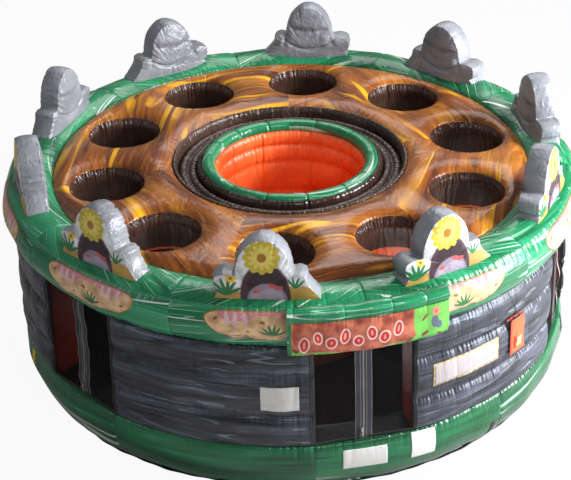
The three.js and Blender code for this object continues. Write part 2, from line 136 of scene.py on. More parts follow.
def marbling(tree, tones, veins, stretch, size, bend=1.2, hair=0.3):
    """A marbled print that follows the skin's flow map: long clouds of tones drawn out in fine hairs, and
    bundles of thin lines, each set given as colour, strength, line width and number of lines"""
    flow = add_node(tree, "ShaderNodeUVMap", uv_map="flow")
    run = add_node(tree, "ShaderNodeMapping", {"Scale": (size / stretch, size, 1)},
                   {"Vector": flow.outputs["UV"]})
    swirl = add_node(tree, "ShaderNodeTexNoise", {"Scale": 0.5, "Detail": 1.5},
                     {"Vector": run.outputs["Vector"]})
    pull = add_node(tree, "ShaderNodeVectorMath", {1: (0.5, 0.5, 0.5)}, {0: swirl.outputs["Color"]},
                    operation="SUBTRACT")
    warped = add_node(tree, "ShaderNodeVectorMath", {1: (bend, bend, bend)},
                      {0: pull.outputs[0], 2: run.outputs["Vector"]}, operation="MULTIPLY_ADD")
    cloud = add_node(tree, "ShaderNodeTexNoise",
                     {"Scale": 1.1, "Detail": 6.0, "Roughness": 0.58, "Distortion": 0.3},
                     {"Vector": warped.outputs[0]})
    fine = add_node(tree, "ShaderNodeMapping", {"Scale": (0.5, 1, 1)}, {"Vector": warped.outputs[0]})
    hairs = add_node(tree, "ShaderNodeTexNoise", {"Scale": 9.0, "Detail": 4.0, "Roughness": 0.7},
                     {"Vector": fine.outputs["Vector"]})
    middle = add_node(tree, "ShaderNodeMath", {1: 0.5}, {0: hairs.outputs["Fac"]}, operation="SUBTRACT")
    tone = add_node(tree, "ShaderNodeMath", {1: hair}, {0: middle.outputs[0], 2: cloud.outputs["Fac"]},
                    operation="MULTIPLY_ADD")
    clouds = add_node(tree, "ShaderNodeValToRGB", links={"Fac": tone.outputs[0]}, stops=tones)
    colour = clouds.outputs["Color"]
    for number, (vein_colour, strength, width, count) in enumerate(veins):
        line = add_node(tree, "ShaderNodeTexNoise",
                        {"Scale": 0.6 + 0.25 * number, "Detail": 1.0, "Roughness": 0.4, "Distortion": 0.2},
                        {"Vector": warped.outputs[0]})
        many = add_node(tree, "ShaderNodeMath", {1: count}, {0: line.outputs["Fac"]}, operation="MULTIPLY")
        away = add_node(tree, "ShaderNodeMath", {1: 0.5}, {0: many.outputs[0]}, operation="PINGPONG")
        edge = add_node(tree, "ShaderNodeValToRGB", links={"Fac": away.outputs[0]},
                        stops=[(width * 0.55, "ffffff"), (width, "000000")])
        patchy = add_node(tree, "ShaderNodeTexNoise", {"Scale": 1.6 + number, "Detail": 1.0},
                          {"Vector": run.outputs["Vector"]})
        some = add_node(tree, "ShaderNodeValToRGB", links={"Fac": patchy.outputs["Fac"]},
                        stops=[(0.45, "000000"), (0.62, "ffffff")])
        shown = add_node(tree, "ShaderNodeMath", links={0: edge.outputs["Color"], 1: some.outputs["Color"]},
                         operation="MULTIPLY")
        share = add_node(tree, "ShaderNodeMath", {1: strength}, {0: shown.outputs[0]}, operation="MULTIPLY")
        colour = add_node(tree, "ShaderNodeMix", {7: vein_colour}, {0: share.outputs[0], 6: colour},
                          data_type="RGBA").outputs[2]
    return colour


def marbled_vinyl(name, tones, veins, stretch, size, roughness, specular=0.5, **more):
    """PVC-coated polyester, calendered and printed: a smooth, glossy skin with creases some 70 mm apart"""
    made, tree, shader, place = new_material(name, roughness, specular)
    tree.links.new(marbling(tree, tones, veins, stretch, size, **more), shader.inputs["Base Color"])
    wrinkles(tree, shader, place, 14.0, 0.004)
    return made


def plain_vinyl(name, dark, light, roughness=0.3, depth=0.004, per_metre=14.0, specular=0.5):
    """PVC-coated polyester in one colour, a little lighter where it is rubbed, in clouds some 300 mm wide"""
    made, tree, shader, place = new_material(name, roughness, specular)
    cloud = add_node(tree, "ShaderNodeTexNoise", {"Scale": 3.0, "Detail": 5.0}, {"Vector": place})
    colour = add_node(tree, "ShaderNodeValToRGB", links={"Fac": cloud.outputs["Fac"]},
                      stops=[(0.3, dark), (0.7, light)])
    tree.links.new(colour.outputs["Color"], shader.inputs["Base Color"])
    wrinkles(tree, shader, place, per_metre, depth)
    return made


def spots(tree, uv, colour, fill, shapes):
    """Ovals of one colour printed over another: each is (x, y, half width, half height, turn in degrees)"""
    for x, y, wide, tall, angle in shapes:
        turned = (0, 0, math.radians(angle))
        at = add_node(tree, "ShaderNodeMapping",
                      {"Location": (x, y, 0), "Rotation": turned, "Scale": (wide, tall, 1)},
                      {"Vector": uv}, vector_type="TEXTURE")
        far = add_node(tree, "ShaderNodeVectorMath", links={0: at.outputs[0]}, operation="LENGTH")
        inside = add_node(tree, "ShaderNodeMapRange", {"From Min": 1.04, "From Max": 0.96},
                          {"Value": far.outputs["Value"]})
        colour = add_node(tree, "ShaderNodeMix", {7: fill}, {0: inside.outputs[0], 6: colour},
                          data_type="RGBA").outputs[2]
    return colour


def printed_sheet(name, ground, layers, depth=0.003):
    """White PVC sheet with a screen-printed picture, in metres on its own map: each layer is a colour and its
    ovals. The ink's edges wander by 10 mm, and it is blotched in spots some 90 mm wide."""
    made, tree, shader, place = new_material(name, 0.35)
    uv = add_node(tree, "ShaderNodeUVMap", uv_map="print").outputs["UV"]
    rough = add_node(tree, "ShaderNodeTexNoise", {"Scale": 9.0, "Detail": 3.0}, {"Vector": uv})
    shift = add_node(tree, "ShaderNodeVectorMath", {1: (0.02, 0.02, 0), 2: (-0.01, -0.01, 0)},
                     {0: rough.outputs["Color"]}, operation="MULTIPLY_ADD")
    drawn = add_node(tree, "ShaderNodeVectorMath", links={0: uv, 1: shift.outputs[0]}, operation="ADD")
    clouds = add_node(tree, "ShaderNodeTexNoise", {"Scale": 11.0, "Detail": 5.0}, {"Vector": uv})
    colour = add_node(tree, "ShaderNodeValToRGB", links={"Fac": clouds.outputs["Fac"]},
                      stops=ground).outputs["Color"]
    for fill, shapes in layers:
        colour = spots(tree, drawn.outputs[0], colour, fill, shapes)
    tint = add_node(tree, "ShaderNodeValToRGB", links={"Fac": clouds.outputs["Fac"]},
                    stops=[(0.3, "d9d5d2"), (0.62, "ffffff")])
    shade = add_node(tree, "ShaderNodeMix", {0: 0.8}, {6: colour, 7: tint.outputs["Color"]},
                     data_type="RGBA", blend_type="MULTIPLY")
    tree.links.new(shade.outputs[2], shader.inputs["Base Color"])
    wrinkles(tree, shader, place, 18.0, depth)
    return made


def blades(x, y, size, turns=(-62, -35, -12, 15, 42, 66)):
    """A tuft of grass as thin ovals that spread from its foot"""
    return [(x - math.sin(math.radians(t)) * size * 0.5, y + math.cos(math.radians(t)) * size * 0.5,
             size * 0.1, size * 0.52, t) for t in turns]


def petals(x, y, reach, wide, count):
    """A flower's petals as ovals round its middle"""
    turns = [360 * k / count for k in range(count)]
    return [(x + math.cos(math.radians(t)) * reach * 0.62, y + math.sin(math.radians(t)) * reach * 0.62,
             reach * 0.42, wide, t) for t in turns]


# Marbled PVC cloth of the big chambers. The green clouds are about 1.8 m long and 140 mm wide, the charcoal
# ones 1.1 m and 90 mm, the earth ones 1.3 m and 180 mm, and the lines in them 4 to 15 mm wide. The top ring
# and the deck shine most, the base and the wall are dulled by hands and shoes, and the deck's print is matter
# than its foil, so it mirrors the sky less.
green_vinyl = marbled_vinyl(
    "marbled_green_vinyl",
    [(0.28, "115131"), (0.45, "1f7c50"), (0.6, "2a9262"), (0.74, "46a679"), (0.88, "82cda7")],
    [("f2faf5", 0.95, 0.04, 5), ("0b3420", 0.55, 0.10, 3), ("b4e2c8", 0.8, 0.05, 7)],
    stretch=13.0, size=6.5, roughness=0.2, hair=0.35)
base_vinyl = marbled_vinyl(
    "marbled_green_base_vinyl",
    [(0.3, "0a321d"), (0.45, "125231"), (0.6, "1b6d44"), (0.78, "38916a")],
    [("d8ecde", 0.8, 0.06, 3), ("0a2616", 0.6, 0.12, 3)], stretch=14.0, size=6.5, roughness=0.24)
charcoal_vinyl = marbled_vinyl(
    "marbled_charcoal_vinyl",
    [(0.3, "14151b"), (0.43, "282a32"), (0.55, "3c3f4a"), (0.67, "555968"), (0.8, "737888")],
    [("0c0d10", 0.8, 0.14, 4), ("8d95a8", 0.5, 0.08, 5)], stretch=12.0, size=10.0, roughness=0.34, hair=0.45)
earth_vinyl = marbled_vinyl(
    "marbled_earth_vinyl",
    [(0.2, "381d10"), (0.34, "5f321a"), (0.45, "824823"), (0.55, "9f5d26"), (0.65, "b37229"),
     (0.75, "bf832f"), (0.86, "884b27")],
    [("f4b21a", 0.95, 0.06, 2), ("3c2212", 0.6, 0.09, 4), ("cd8c45", 0.5, 0.06, 6)],
    stretch=7.0, size=5.0, bend=2.0, hair=0.45, roughness=0.21, specular=0.32)

# Plain PVC cloth. The brown kinds are gathered and shine in small hard glints, with creases some 60 mm apart.
brown_vinyl = plain_vinyl("dark_brown_vinyl", "2c1b16", "422e27", roughness=0.18, depth=0.007, per_metre=16.0)
roll_vinyl = plain_vinyl("brown_roll_vinyl", "35241e", "574138", roughness=0.2, depth=0.012, per_metre=18.0)
orange_vinyl = plain_vinyl("orange_vinyl", "e9521f", "ff7a3c", roughness=0.34, depth=0.005)
dark_orange_vinyl = plain_vinyl("dark_orange_vinyl", "b62a10", "d8401c", roughness=0.36)
hung_vinyl = plain_vinyl("hanging_orange_vinyl", "d4481b", "ea6534", roughness=0.3, depth=0.005)
jamb_vinyl = plain_vinyl("orange_red_vinyl", "c22c0c", "e5481c", roughness=0.4)
# Pale orange, a painted highlight on the hanging flap's lower fold
highlight_orange_vinyl = plain_vinyl("painted_highlight_orange_vinyl", "e59a70", "f3b48c", roughness=0.3, depth=0.002)
rock_vinyl = plain_vinyl("silver_grey_vinyl", "74767d", "9c9ea5", roughness=0.25, depth=0.012, per_metre=13.0)
black_vinyl = plain_vinyl("black_vinyl", "0b0b0d", "161619", roughness=0.42)
# Labels and tags of thin sheet: flat and satin
white_vinyl = plain_vinyl("white_label_vinyl", "c9c6c4", "dbd8d5", roughness=0.45, depth=0.001)
strip_vinyl = plain_vinyl("pinkish_strip_vinyl", "a49a9a", "b6acab", roughness=0.45, depth=0.0015)
yellow_vinyl = plain_vinyl("yellow_vinyl", "d8b21c", "ecd03c", roughness=0.45, depth=0.001)
# Woven polyester zip tape and moulded coil teeth: matt, with ribs 25 mm and 17 mm apart
grey_tape = plain_vinyl("grey_zip_tape", "1d2029", "31363f", roughness=0.7, depth=0.003, per_metre=40.0)
pale_tape = plain_vinyl("pale_zip_teeth", "756c66", "a89c94", roughness=0.6, depth=0.002, per_metre=60.0)
# Rotation-moulded polyethylene and moulded fan plastic: satin, with a shallow orange-peel grain
blower_shell = plain_vinyl("moulded_blue_polyethylene", "16407f", "2257a3", roughness=0.5, depth=0.0015,
                           per_metre=90.0)
fan_black = plain_vinyl("moulded_black_plastic", "101112", "1d1e20", roughness=0.45, depth=0.001,
                        per_metre=120.0)


def hole_cloth():
    """The holes' brown PVC lining shines at its lip and is dull further down, where hands and boots rub it"""
    made = plain_vinyl("brown_hole_vinyl", "38241d", "543b32", depth=0.007, per_metre=16.0, specular=0.4)
    tree = made.node_tree
    place = add_node(tree, "ShaderNodeTexCoord").outputs["Object"]
    axes = add_node(tree, "ShaderNodeSeparateXYZ", links={"Vector": place})
    dull = add_node(tree, "ShaderNodeMapRange",
                    {"From Min": 1.53, "From Max": 1.61, "To Min": 0.45, "To Max": 0.15},
                    {"Value": axes.outputs["Z"]})
    tree.links.new(dull.outputs[0], tree.nodes["Principled BSDF"].inputs["Roughness"])
    return made


def dashed_border():
    """White PVC strip with a printed border of 28 mm yellow dashes, rubbed pale in places"""
    made, tree, shader, place = new_material("dashed_border_print", 0.45)
    uv = add_node(tree, "ShaderNodeUVMap", uv_map="print").outputs["UV"]
    dashes = add_node(tree, "ShaderNodeTexChecker", {"Scale": 36.0, "Color1": "b8921a", "Color2": "b3ab9c"},
                      {"Vector": uv})
    rub = add_node(tree, "ShaderNodeTexNoise", {"Scale": 30.0, "Detail": 3.0}, {"Vector": uv})
    worn = add_node(tree, "ShaderNodeValToRGB", links={"Fac": rub.outputs["Fac"]},
                    stops=[(0.35, "000000"), (0.7, "5a5a5a")])
    colour = add_node(tree, "ShaderNodeMix", {7: "b5aeaa"},
                      {0: worn.outputs["Color"], 6: dashes.outputs["Color"]}, data_type="RGBA")
    tree.links.new(colour.outputs[2], shader.inputs["Base Color"])
    wrinkles(tree, shader, place, 18.0, 0.002)
    return made


def cast_zinc():
    """Die-cast zinc of the zip sliders: a satin metal, brighter and smoother where hands rub it"""
    made, tree, shader, place = new_material("cast_zinc", 0.34, Metallic=1.0)
    grain = add_node(tree, "ShaderNodeTexNoise", {"Scale": 130.0, "Detail": 4.0}, {"Vector": place})
    wear = grain.outputs["Fac"]
    colour = add_node(tree, "ShaderNodeValToRGB", links={"Fac": wear},
                      stops=[(0.35, "8d8a86"), (0.65, "cfccc7")])
    tree.links.new(colour.outputs["Color"], shader.inputs["Base Color"])
    rough = add_node(tree, "ShaderNodeMapRange", {"To Min": 0.26, "To Max": 0.46}, {"Value": wear})
    tree.links.new(rough.outputs[0], shader.inputs["Roughness"])
    pits = add_node(tree, "ShaderNodeBump", {"Strength": 0.5, "Distance": 0.0003}, {"Height": wear})
    tree.links.new(pits.outputs["Normal"], shader.inputs["Normal"])
    return made


def black_net():
    """Vinyl-coated polyester net: matt black yarns, and gaps that show a little of what is behind"""
    made, tree, shader, place = new_material("black_net", 0.85, specular=0.1, Alpha=0.62)
    # The real net has 2 mm gaps, drawn 6 mm apart so that they show
    yarn = add_node(tree, "ShaderNodeTexVoronoi", {"Scale": 160.0}, {"Vector": place}).outputs["Distance"]
    colour = add_node(tree, "ShaderNodeValToRGB", links={"Fac": yarn},
                      stops=[(0.1, "060607"), (0.7, "111113")])
    tree.links.new(colour.outputs["Color"], shader.inputs["Base Color"])
    fold = add_node(tree, "ShaderNodeBump", {"Strength": 0.5, "Distance": 0.001}, {"Height": yarn})
    tree.links.new(fold.outputs["Normal"], shader.inputs["Normal"])
    return made


hole_vinyl = hole_cloth()
zinc = cast_zinc()
border_print = dashed_border()
black_mesh = black_net()

# The rocks' fronts: sand at the foot, grass, a burrow with stones, and a yellow flower above it
FLOWER = (-0.03, 0.362)
BLOSSOM = (-0.25, 0.19)
rock_print = printed_sheet(
    "rock_front_print", [(0.3, "b9bbc1"), (0.6, "eceef0")],
    [("c29a4f", [(-0.25, 0.03, 0.15, 0.06, 8), (0.26, 0.05, 0.17, 0.08, -16), (0.36, 0.02, 0.08, 0.03, -20)]),
     ("2a7846", blades(-0.29, 0.06, 0.13) + blades(0.2, 0.12, 0.09, (-50, -20, 10, 35))),
     ("4a2637", [(-0.01, 0.08, 0.175, 0.24, 0), (-0.08, 0.02, 0.1, 0.17, 0), (0.07, 0.02, 0.1, 0.16, 0)]),
     ("2c141f", [(0.0, 0.13, 0.135, 0.15, 0)]),
     ("96859a", [(0.005, 0.01, 0.145, 0.15, 0)]),
     ("ab9db0", [(0.03, 0.05, 0.09, 0.07, 0), (-0.06, 0.04, 0.06, 0.05, 20)]),
     ("c9544f", [(0.085, 0.125, 0.03, 0.018, 10), (0.035, 0.145, 0.026, 0.017, -20),
                 (-0.07, 0.09, 0.022, 0.014, 15)]),
     ("cdb63a", petals(*FLOWER, 0.128, 0.034, 12)),
     ("e6d568", petals(*FLOWER, 0.096, 0.016, 12)),
     ("a8741f", [(*FLOWER, 0.034, 0.032, 0)]),
     ("dcbd38", petals(*BLOSSOM, 0.04, 0.011, 7)),
     ("9c5f27", [(*BLOSSOM, 0.012, 0.012, 0)])])
# The mounds under the rocks: sand with rosy streaks, stones and grass, in a brown outline
mound_print = printed_sheet(
    "sandy_mound_print", [(0.3, "cda06c"), (0.45, "deb486"), (0.6, "edc99d")],
    [("d58f96", [(-0.2, 0.185, 0.14, 0.05, 2), (0.22, 0.19, 0.13, 0.045, -3), (0.0, 0.2, 0.12, 0.022, 0)]),
     ("e2bfc4", [(-0.27, 0.15, 0.017, 0.05, 6), (-0.21, 0.14, 0.016, 0.055, -4),
                 (-0.14, 0.15, 0.015, 0.045, 8), (0.16, 0.155, 0.016, 0.045, -8),
                 (0.23, 0.145, 0.017, 0.055, 3), (0.3, 0.155, 0.014, 0.04, -6)]),
     ("9b6437", [(-0.35, 0.15, 0.018, 0.010, 20), (-0.02, 0.13, 0.022, 0.012, -10),
                 (0.34, 0.09, 0.016, 0.010, 0), (-0.12, 0.06, 0.012, 0.008, 0)]),
     ("2a7846", blades(0.05, 0.015, 0.1)),
     ("ecc795", [(-0.3, 0.08, 0.06, 0.02, -10), (0.26, 0.06, 0.07, 0.014, 5)])])
mound_edge = plain_vinyl("mound_outline_print", "9a6a38", "b5803f", roughness=0.35)
# The banner: a row of red beads with pale rims on earth, over grass with stones, a boulder and a flower
BEADS = [(0.105, 0.115, 0.04, 0.062, 0), (0.205, 0.165, 0.036, 0.05, 8), (0.3, 0.12, 0.045, 0.045, 0),
         (0.4, 0.16, 0.036, 0.06, -10), (0.495, 0.115, 0.042, 0.045, 0), (0.595, 0.165, 0.04, 0.055, 6),
         (0.69, 0.12, 0.046, 0.05, 0), (0.79, 0.165, 0.036, 0.058, -8)]
banner_print = printed_sheet(
    "banner_print", [(0.3, "85362a"), (0.42, "ae4d37"), (0.6, "cf765a")],
    [("6fbf50", [(0.0, 0.04, 0.13, 0.045, -14), (0.2, 0.02, 0.2, 0.03, 0), (0.8, 0.022, 0.2, 0.022, 4),
                 (1.1, 0.2, 0.19, 0.26, 0), (1.2, 0.05, 0.25, 0.2, 0), (0.98, 0.03, 0.14, 0.05, 8)]),
     ("2a8049", [(-0.005, 0.14, 0.022, 0.3, 0)]),
     ("4fa83c", [(1.05, 0.02, 0.3, 0.03, 0), (0.1, 0.012, 0.2, 0.016, 0)]),
     ("7a3324", [(0.04, 0.07, 0.024, 0.014, -30), (0.15, 0.03, 0.032, 0.011, 10),
                 (0.88, 0.05, 0.035, 0.012, 25), (1.0, 0.075, 0.03, 0.014, 35),
                 (1.12, 0.045, 0.024, 0.011, -15), (1.0, 0.2, 0.03, 0.010, 40)]),
     ("f0d3cc", BEADS),
     ("d22c26", [(x, y, wide - 0.011, tall - 0.012, angle) for x, y, wide, tall, angle in BEADS]),
     ("f0a08c", [(x, y, 0.009, tall - 0.032, angle) for x, y, wide, tall, angle in BEADS]),
     ("5b6478", [(1.08, 0.15, 0.03, 0.045, 0), (1.115, 0.12, 0.025, 0.03, 0)]),
     ("e0917f", petals(1.09, 0.225, 0.036, 0.012, 6)),
     ("d06a3c", [(1.09, 0.225, 0.012, 0.012, 0)])], depth=0.002)


# Shapes

MERGE = 0.00002


def only(piece):
    """Makes a piece the one that the next operator works on"""
    bpy.ops.object.select_all(action="DESELECT")
    piece.select_set(True)
    bpy.context.view_layer.objects.active = piece


def started(name, add, **settings):
    """A primitive from one of Blender's operators, under its own name"""
    bpy.ops.object.select_all(action="DESELECT")
    add(**settings)
    made = bpy.context.active_object
    made.name = name
    made.data.name = name
    return made


def read(piece):
    """A piece's points"""
    points = np.empty(len(piece.data.vertices) * 3)
    piece.data.vertices.foreach_get("co", points)
    return points.reshape(-1, 3)


def write(piece, points):
    """Puts a piece's points in their places"""
    piece.data.vertices.foreach_set("co", np.asarray(points, np.float32).ravel())
    piece.data.update()


def face_centres(piece):
    """The middles of a piece's faces"""
    centre = np.empty(len(piece.data.polygons) * 3)
    piece.data.polygons.foreach_get("center", centre)
    return centre.reshape(-1, 3)


def grid(name, columns, rows):
    """A grid to be shaped, and its points' shares across and up it"""
    piece = started(name, bpy.ops.mesh.primitive_grid_add, x_subdivisions=columns, y_subdivisions=rows,
                    size=1)
    points = read(piece)
    return piece, points[:, 0] + 0.5, points[:, 1] + 0.5


def loft(name, x, y, z):
    """A closed ring of rings, one for each row of the given points, from a torus"""
    rows, columns = x.shape
    piece = started(name, bpy.ops.mesh.primitive_torus_add, major_segments=columns, minor_segments=rows,
                    major_radius=1, minor_radius=0.2)
    write(piece, np.stack([values.T.ravel() for values in (x, y, z)], 1))
    turn_out(piece)
    return piece


def turn_out(piece):
    """Turns a closed piece's faces outwards if they point in"""
    mesh = piece.data
    mesh.calc_loop_triangles()
    corners = np.empty(len(mesh.loop_triangles) * 3, np.int32)
    mesh.loop_triangles.foreach_get("vertices", corners)
    a, b, c = read(piece)[corners].reshape(-1, 3, 3).transpose(1, 0, 2)
    if np.einsum("ij,ij->i", a, np.cross(b, c)).sum() < 0:
        mesh.flip_normals()


def sew(piece, fill_ends=False):
    """Merges the edges that meet, fills the ends that stay open, and turns the faces outwards"""
    only(piece)
    bpy.ops.object.mode_set(mode="EDIT")
    bpy.ops.mesh.select_all(action="SELECT")
    bpy.ops.mesh.remove_doubles(threshold=MERGE)
    if fill_ends:
        bpy.ops.mesh.select_all(action="SELECT")
        bpy.ops.mesh.fill_holes(sides=0)
    bpy.ops.mesh.select_all(action="SELECT")
    bpy.ops.mesh.normals_make_consistent(inside=False)
    bpy.ops.object.mode_set(mode="OBJECT")
    turn_out(piece)


def settle(piece, material, body="drum", replaces=(), crisp=None):
    """Gives a piece its material, smooth shading and body, hides the parts it replaces, and shades by angle
    if crisp
    """
    if material is not None:
        piece.data.materials.clear()
        piece.data.materials.append(material)
    piece.data.polygons.foreach_set("use_smooth", [True] * len(piece.data.polygons))
    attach(piece, body)
    if replaces:
        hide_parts(*replaces)
    if crisp:
        only(piece)
        bpy.ops.object.shade_smooth_by_angle(angle=math.radians(crisp))
    return piece


def flow_map(piece, name, place):
    """A map in metres on a skin's faces; place gives it from the corners' point numbers and their faces'
    centres"""
    mesh = piece.data
    point = np.empty(len(mesh.loops), np.int32)
    mesh.loops.foreach_get("vertex_index", point)
    total = np.empty(len(mesh.polygons), np.int32)
    mesh.polygons.foreach_get("loop_total", total)
    layer = mesh.uv_layers.new(name=name)
    pair = np.stack(place(point, np.repeat(face_centres(piece), total, 0)), 1)
    layer.data.foreach_set("uv", pair.astype(np.float32).ravel())


def panel_flow(u, v, number, turns):
    """Gives each panel of a print its own place and direction on the printed roll"""
    angle = np.radians(turns)
    across, along = u * np.cos(angle) - v * np.sin(angle), u * np.sin(angle) + v * np.cos(angle)
    return across + number * 3.71, along + number * 1.93


def facing(azimuth, x, y, z):
    """Points given as seen from outside at an azimuth, x to the right and y inwards, in the drum's frame"""
    cos, sin = math.cos(math.radians(azimuth)), math.sin(math.radians(azimuth))
    return np.stack(np.broadcast_arrays(x * cos - y * sin, x * sin + y * cos, z), -1)


def azimuth_of(x, y):
    """Azimuths of points in the drum's frame"""
    return np.degrees(np.arctan2(x, -y))


def turned_from(azimuth, centre):
    """Degrees from one azimuth to another, the shorter way round"""
    return (azimuth - centre + 180) % 360 - 180


def doors_beside(number):
    """Azimuths of the doors at a wall panel's two ends"""
    return DOORS[number], DOORS[(number + 1) % len(DOORS)]


def swell(start, end, rise, count, fullness=2.4):
    """Points of an outline from start to before end, swollen to the right of that way by rise"""
    share = np.arange(count)[:, None] / count
    start, end = np.array(start), np.array(end)
    way = end - start
    right = np.array([way[1], -way[0]]) / np.hypot(*way)
    return start + share * way + rise * (1 - np.abs(2 * share - 1) ** fullness) * right


def closed(*corners):
    """Parts of a closed outline: each row is a corner, then the rise and the steps of the way to the next"""
    following = [*corners[1:], corners[0]]
    return [swell(corner, after[0], *way) for (corner, *way), after in zip(corners, following)]


def curve(points, count):
    """Points of a smooth curve through the given ones, to before the last"""
    p = np.array([points[0], *points, points[-1]], float)
    share = np.arange(count) / count * (len(points) - 1)
    k = share.astype(int)
    t = (share - k)[:, None]
    a, b, c, d = p[k], p[k + 1], p[k + 2], p[k + 3]
    return 0.5 * (2 * b + (c - a) * t + (2 * a - 5 * b + 4 * c - d) * t**2 + (3 * b - a - 3 * c + d) * t**3)


def bump_at(values, width, power=2):
    """1 where the values are 0, fading over a width"""
    return np.exp(-np.abs(values / width) ** power)


def between(first, last):
    """Shares that are 1 between two places along an outline, and 0 elsewhere"""
    return lambda along: (along > first) * (along < last) * 1.0


class Folds:
    """Uneven gathers along a seam: where each crease lies, how deep it is and how far it runs"""

    def __init__(self, length, pitch, seed):
        dice = np.random.default_rng(seed)
        gaps = dice.uniform(0.5, 1.5, max(3, round(length / pitch)))
        self.edges = np.concatenate([[0], np.cumsum(gaps)]) / gaps.sum() * length
        self.depth = dice.uniform(0.3, 1, len(self.edges))
        self.reach = dice.uniform(0.5, 1.6, len(self.edges))
        self.lean = dice.uniform(-0.25, 0.25, len(self.edges))
        for values in (self.depth, self.reach, self.lean):
            values[-1] = values[0]
        self.length = length

    def at(self, place, distance, reach, sharp=2.6):
        """How deep the cloth lies, from 0 to 1, at places along the seam and distances from it"""
        k = np.searchsorted(self.edges, place % self.length, "right") - 1
        k = np.clip(k, 0, len(self.edges) - 2)
        place = (place + distance * self.lean[k] * 0.6) % self.length
        k = np.clip(np.searchsorted(self.edges, place, "right") - 1, 0, len(self.edges) - 2)
        share = (place - self.edges[k]) / (self.edges[k + 1] - self.edges[k])
        near = np.where(share < 0.5, k, k + 1)
        crease = np.abs(2 * share - 1) ** sharp
        return crease * self.depth[near] * np.exp(-(distance / (reach * self.reach[near])) ** 1.3)


def sway(azimuth, height, size, seed, waves=7, low=2, high=16):
    """Slow swellings of an inflated skin, which close round the drum"""
    dice = np.random.default_rng(seed)
    angle = np.radians(azimuth)
    total = np.zeros(np.broadcast(azimuth, height).shape)
    for _ in range(waves):
        turns = dice.integers(low, high)
        total = total + np.cos(turns * angle + dice.uniform(-6, 6) * height + dice.uniform(0, 6.28))
    return size * total / waves**0.5


class Skin:
    """An inflated skin: an outline of (radius, height) points turned about Z, with relief along its normal"""

    def __init__(self, *parts):
        self.starts = np.cumsum([0, *[len(p) for p in parts]])
        self.points = np.concatenate(parts)
        ahead = np.roll(self.points, -1, 0) - np.roll(self.points, 1, 0)
        self.normals = np.stack([ahead[:, 1], -ahead[:, 0]], 1)
        self.normals /= np.maximum(np.hypot(*self.normals.T), 1e-9)[:, None]
        steps = np.hypot(*(np.roll(self.points, -1, 0) - self.points).T)
        self.lengths = np.concatenate([[0], np.cumsum(steps)])
        self.seams = []
        self.pinches = []
        self.reliefs = []

    def gather(self, *rows):
        """Gathers along the seams where parts of the outline start. A row is the part, the gathers' depth,
        how far they run, their pitch, a seed, and how sharp they are"""
        for part, depth, reach, pitch, seed, *sharp in rows:
            k = self.starts[part] % len(self.points)
            radius = self.points[k][0]
            folds = Folds(2 * math.pi * radius, pitch, seed)
            self.seams.append((self.lengths[k], radius, folds, depth, reach, *sharp))

    def tuck(self, azimuths, width, depth, shares):
        """Creases across the skin where panels meet or a baffle pulls it in"""
        self.pinches += [(azimuth, width, depth, shares) for azimuth in azimuths]

    def blended(self, values, along):
        k = np.floor(along).astype(int)
        t = along - k
        n = len(self.points)
        a, b = values[k % n], values[(k + 1) % n]
        return a + (b - a) * (t[:, None] if values.ndim > 1 else t)

    def along_length(self, along):
        return np.interp(along, np.arange(len(self.lengths)), self.lengths)

    def at(self, azimuth, along, lift=0.0):
        """Points of the skin at azimuths and outline places, lifted off it by lift"""
        azimuth, along = np.broadcast_arrays(np.asarray(azimuth, float), np.asarray(along, float))
        azimuth, along = azimuth.ravel(), np.round(along.ravel(), 4) % len(self.points)
        point = self.blended(self.points, along)
        normal = self.blended(self.normals, along)
        normal /= np.maximum(np.hypot(*normal.T), 1e-9)[:, None]
        length = self.along_length(along)
        relief = np.full(len(azimuth), float(lift))
        for seam, radius, folds, depth, reach, *sharp in self.seams:
            apart = np.abs(length - seam)
            apart = np.minimum(apart, self.lengths[-1] - apart)
            close = apart < reach * 4
            place = np.radians(azimuth[close] % 360) * radius
            relief[close] -= depth * folds.at(place, apart[close], reach, *sharp)
        for centre, width, depth, shares in self.pinches:
            offset = turned_from(azimuth, centre)
            relief -= depth * bump_at(np.radians(offset) * point[:, 0], width) * shares(along)
        for extra in self.reliefs:
            relief += extra(azimuth, along, point)
        point = point + normal * relief[:, None]
        angle = np.radians(azimuth)
        height = np.maximum(point[:, 1], 0.0004)
        return np.stack([point[:, 0] * np.sin(angle), -point[:, 0] * np.cos(angle), height], 1)


def ring(name, skin, columns, azimuth_at=None, shift=0.0, panels=None, doors=()):
    """A skin round the drum, or a stretch of it, from a grid whose meeting edges are merged and whose ends
    are filled"""
    rows = len(skin.points)
    piece, share, up = grid(name, columns, rows)
    along = up * rows
    radii = skin.blended(skin.points, along)[:, 0]
    azimuth = azimuth_at(share, radii) if azimuth_at else share * 360 - 180
    points = skin.at(azimuth, along)
    for door, side, at_end in zip(doors, (1, -1), (share < 0.0001, share > 0.9999)):
        # The skin ends flat beside the door, and nothing of it bulges past that end
        x, y = facing(-door, points[:, 0], points[:, 1], 0)[:, :2].T
        x = side * x
        x = np.where(at_end, DOOR_CLEAR, np.where((y < 0) & (np.abs(x) < 0.5), np.maximum(x, DOOR_CLEAR), x))
        points = facing(door, side * x, y, points[:, 2])
    write(piece, points)
    radius = skin.points[:, 0].max()
    across, length = np.radians(azimuth) * radius + shift, skin.along_length(along) + shift

    def flow(point, centre):
        if panels is None:
            return across[point], length[point]
        return panel_flow(across[point], length[point], *panels(azimuth_of(centre[:, 0], centre[:, 1]),
                                                                length[point]))

    flow_map(piece, "flow", flow)
    sew(piece, azimuth_at is not None)
    return piece


